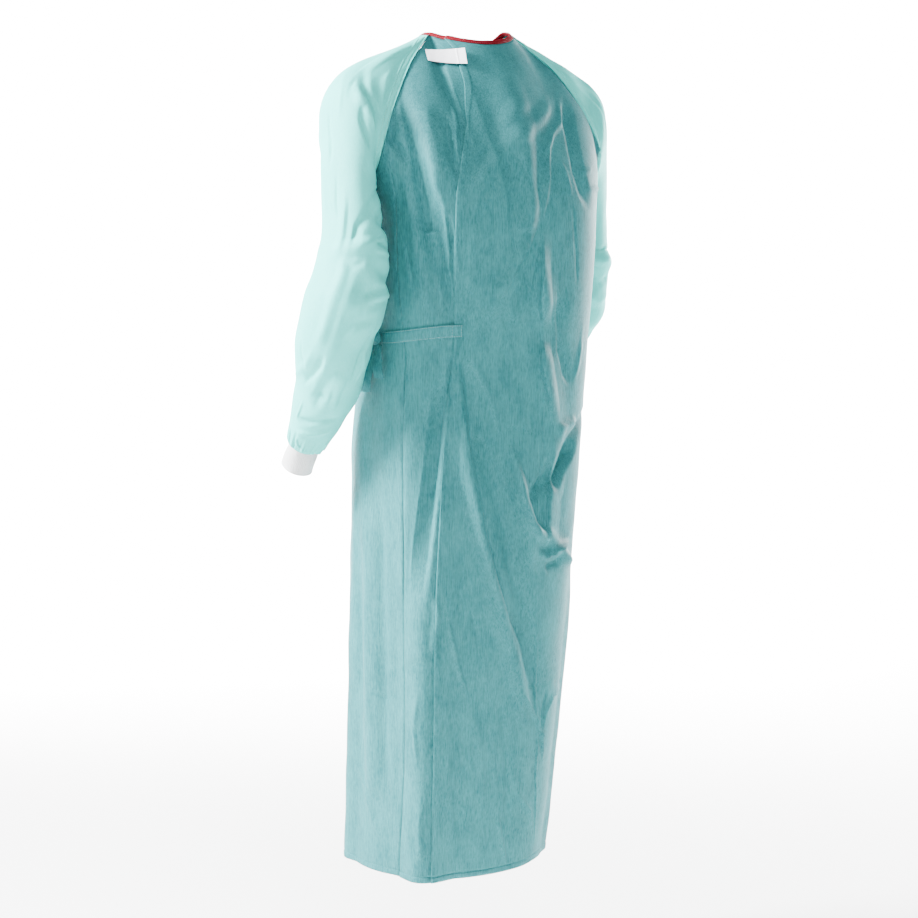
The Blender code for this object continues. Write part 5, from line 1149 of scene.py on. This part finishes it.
nearest = [np.argmin(np.sum((below[:, :2] - spot) ** 2, axis=1)) for spot in spots.reshape(-1, 2)]
tab_relief = below[nearest, 2].reshape(tab_share.shape) - (tab_flat - corners[0]) @ tab_out
fold_over = np.exp(-((tab_share - 0.22) / 0.018) ** 2)
tab_wave = 0.00010 * np.sin(tab_share * 23 + tab_drop * 5) * np.sin(tab_drop * 9)
tab_lift = TAB_LIFT + 0.0005 * fold_over + tab_wave
tab_rows = tab_flat + tab_out * (smoothed(tab_relief, tab_share, tab_drop) + tab_lift)[..., None]
tab = cloth("neck_tab_tape", tab_rows, smooth_tape("white_tape"), 0.0004)
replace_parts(tab, "neck_tab")


# The ties: strips of the body's cloth, folded to 20 mm and sewn down both edges. One is sewn to the
# overlap and comes round to the left side; the other comes from the front. They are knotted there,
# and their free ends hang down.
TIE_WIDTH, TIE_LIFT, TIE_SEWN, TIE_FRONT, TIE_RISE = 0.020, 0.0022, 37.5, 122.0, 0.006
KNOT_AT, KNOT_SIZE, KNOT_FOOT, KNOT_LIFT, KNOT_FLAT = 88.0, 0.013, 0.68, 0.0004, 0.45
EDGE_ROWS, ACROSS = (-0.0080, 0.0080), 25
EndOfTie = namedtuple("EndOfTie", "name node shift drop sway length curl")
TIE_ENDS = [EndOfTie("tie_end_back_strip", "tie_end_back", 0.010, 0.0118, 0.013, 0.052, 0.6),
            EndOfTie("tie_end_front_strip", "tie_end_front", -0.006, 0.0124, -0.020, 0.075, -1.0)]

teal_thread = thread_finish("teal_thread", (0.24, 0.47, 0.49))


def tie_down(angle):
    """The height of the ties' middle line."""
    return BELT_DOWN + TIE_RISE * (2 * soft((angle - TIE_SEWN) / 45) - 1)


def tie_relief(offset):
    """How a folded strip stands up: puffed between its stitched rows."""
    across = np.abs(offset) / (TIE_WIDTH / 2)
    sewn = np.exp(-((np.abs(offset) - EDGE_ROWS[1]) / 0.0009) ** 2)
    return 0.0004 * (1 - across ** 4) - 0.0004 * sewn


def laid_tie(name, start, end, count, node):
    """A tie that lies round the body between two angles, with the stitches along it."""
    angles, offsets = np.meshgrid(np.linspace(start, end, count), np.linspace(-0.5, 0.5, ACROSS) * TIE_WIDTH)
    levels = 1 + tie_down(angles) + offsets - CHEST
    wave = 0.00025 * np.sin(angles * 2.1 + offsets * 90) + 0.0002 * np.sin(angles * 5.3 - offsets * 160)
    rows, outs = on_back(angles, levels, TIE_LIFT + tie_relief(offsets) + wave)
    tie = cloth(name, rows, teal_nonwoven, 0.0010)
    paths = []
    for offset in EDGE_ROWS:
        row = int(round((offset / TIE_WIDTH + 0.5) * (ACROSS - 1)))
        paths.append((rows[row], outs[row]))
    if start == TIE_SEWN:
        for column in (2, 16):
            paths.append((rows[2:-2, column], outs[2:-2, column]))
    sewn = stitches(name + "_stitches", paths, teal_thread)
    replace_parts(tie, node)
    length = float(np.linalg.norm(np.diff(rows[ACROSS // 2], axis=0), axis=1).sum())


knot_reach = np.linalg.norm(ring_point(np.array(KNOT_AT), np.array(BELT_DOWN))[:2])
knot_gap = np.degrees(KNOT_SIZE * KNOT_FOOT / knot_reach)
laid_tie("tie_back_strip", TIE_SEWN, KNOT_AT - knot_gap, 150, "tie_back")
laid_tie("tie_front_strip", KNOT_AT + knot_gap, TIE_FRONT, 90, "tie_front")

# The knot: both strips wrapped round each other and pulled tight, a flattened ball of folds
knot_out = away_from_axis(np.array(KNOT_AT))
knot_place = ring_point(np.array(KNOT_AT), tie_down(np.array(KNOT_AT)))
knot_place = knot_place + knot_out * (KNOT_SIZE * (1 - KNOT_FLAT) + KNOT_LIFT)
bm = bmesh.new()
bmesh.ops.create_icosphere(bm, subdivisions=6, radius=KNOT_SIZE)
for vertex in bm.verts:
    u, w = vertex.co.y / KNOT_SIZE, vertex.co.z / KNOT_SIZE
    wrap = abs(math.sin(2.6 * (u * 0.9 + w * 0.7) + 0.5)) ** 0.6
    strand = math.cos(5.5 * (w - u * 0.5)) * 0.5 + 0.5
    pinch = math.sin(9.0 * u - 4.0 * w + 1.0) * 0.25
    scale = 0.90 + 0.10 * wrap - 0.05 * strand * (1 - wrap) + 0.02 * pinch
    spot = np.array(vertex.co) * scale
    vertex.co = spot - knot_out * (spot @ knot_out) * KNOT_FLAT + knot_place
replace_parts(new_piece("tie_knot_cloth", bm, teal_nonwoven), "tie_knot")

# The free ends, which hang from the knot with their raw edges folded in
END_ACROSS, END_OUT = unit(np.array([0.35, -1.0, 0.0])), unit(np.array([1.0, 0.35, 0.0]))
for end in TIE_ENDS:
    share, offset = np.meshgrid(np.linspace(0, 1, 70), np.linspace(-1, 1, ACROSS), indexing="ij")
    start = knot_place + np.array([0.0, end.shift, -end.drop])
    lean = np.array([0.006, end.sway, 0.0])
    half = TIE_WIDTH / 2 * (0.55 + 0.45 * soft(share * 3))
    bow = 0.004 * np.sin(share * np.pi) + 0.0006 * np.sin(share * 11 + offset)
    fold = 0.0014 * (1 - soft(share * 2.2)) * np.cos(offset * 7.5)
    fold = fold + 0.0010 * end.curl * offset ** 2 * soft(share * 2)
    rows = start + lean * share[..., None] - np.array([0, 0, 1.0]) * (end.length * share)[..., None]
    rows = rows + np.array([1.0, 0, 0]) * bow[..., None] + END_ACROSS * (half * offset)[..., None]
    relief = tie_relief(offset * TIE_WIDTH / 2) * soft(share * 2) + fold
    rows = rows + END_OUT * relief[..., None]
    strip = cloth(end.name, rows[:, ::-1], teal_nonwoven, 0.0010)
    outs = np.broadcast_to(END_OUT, rows.shape)
    paths = [(rows[4:, column], outs[4:, column]) for column in (2, 22)] + [(rows[-4, 1:-1], outs[-4, 1:-1])]
    sewn = stitches(end.name + "_stitches", paths, teal_thread)
    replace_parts(strip, end.node)


# The studio: a pale floor that curves up into a wall with its own two lamps, a large soft light on
# each side, the left one stronger, one above, and a camera behind the wearer's left shoulder.
TURN, TILT, DISTANCE, ASIDE, EYE_DOWN = math.radians(30.0), math.radians(5.7), 2.95, -0.00825, -0.3957
FLOOR_DOWN, FLOOR_HALF, WALL_START, CURVE = -1.62, 7.0, -2.6, 1.2
bm = bmesh.new()
bmesh.ops.create_grid(bm, x_segments=2, y_segments=60, size=FLOOR_HALF)
for vertex in bm.verts:
    beyond = WALL_START - vertex.co.y
    turn = min(max(beyond / CURVE, 0.0), math.pi / 2)
    vertex.co.y = max(vertex.co.y, WALL_START) - CURVE * math.sin(turn)
    vertex.co.z = FLOOR_DOWN + CURVE * (1 - math.cos(turn)) + max(beyond - CURVE * math.pi / 2, 0.0)
bmesh.ops.rotate(bm, verts=bm.verts, cent=(0, 0, 0), matrix=Matrix.Rotation(-TURN, 3, "Z"))
mesh = bpy.data.meshes.new("studio_floor")
bm.to_mesh(mesh)
bm.free()
mesh.shade_smooth()
paper, shader, place = finish_of("white_paper")
shader.inputs["Base Color"].default_value = (0.95, 0.95, 0.95, 1)
shader.inputs["Roughness"].default_value = 0.9
mesh.materials.append(paper)
floor = bpy.data.objects.new("studio_floor", mesh)
bpy.context.scene.collection.objects.link(floor)

sky = bpy.data.worlds.new("studio_light")
sky.use_nodes = True
sky.node_tree.nodes["Background"].inputs["Color"].default_value = (1.0, 1.0, 1.0, 1)
sky.node_tree.nodes["Background"].inputs["Strength"].default_value = 0.23
bpy.context.scene.world = sky

Soft = namedtuple("Soft", "name place aim size power spread")
LIGHTS = [Soft("left_light", (2.45, -1.00, 0.95), (0, 0, -0.30), 1.0, 900, 180),
          Soft("right_light", (-2.55, -0.45, -0.1), (0, 0, -0.6), 1.1, 300, 180),
          Soft("top_light", (0.9, 2.4, 1.9), (0, 0, -0.2), 1.4, 115, 180),
          Soft("wall_light_left", (1.2, -2.9, 0.9), (-0.9, -4.2, -0.9), 1.6, 700, 110),
          Soft("wall_light_right", (-3.2, -0.9, 0.9), (-2.4, -3.3, -0.9), 1.6, 700, 110)]
for light in LIGHTS:
    lamp = bpy.data.lights.new(light.name, "AREA")
    lamp.size, lamp.energy, lamp.spread = light.size, light.power, math.radians(light.spread)
    placed = bpy.data.objects.new(light.name, lamp)
    placed.location = light.place
    aim = Vector(light.aim) - Vector(light.place)
    placed.rotation_euler = aim.to_track_quat("-Z", "Y").to_euler()
    bpy.context.scene.collection.objects.link(placed)

behind = Vector((math.sin(TURN), math.cos(TURN), 0.0))
rightwards = Vector((-math.cos(TURN), math.sin(TURN), 0.0))
eye = bpy.data.cameras.new("camera")
eye.lens, eye.sensor_width = 70.12, 36.0
camera = bpy.data.objects.new("camera", eye)
camera.location = behind * DISTANCE + rightwards * ASIDE + Vector((0, 0, EYE_DOWN))
look = -behind * math.cos(TILT) - Vector((0, 0, math.sin(TILT)))
camera.rotation_euler = look.to_track_quat("-Z", "Y").to_euler()
bpy.context.scene.collection.objects.link(camera)
bpy.context.scene.camera = camera
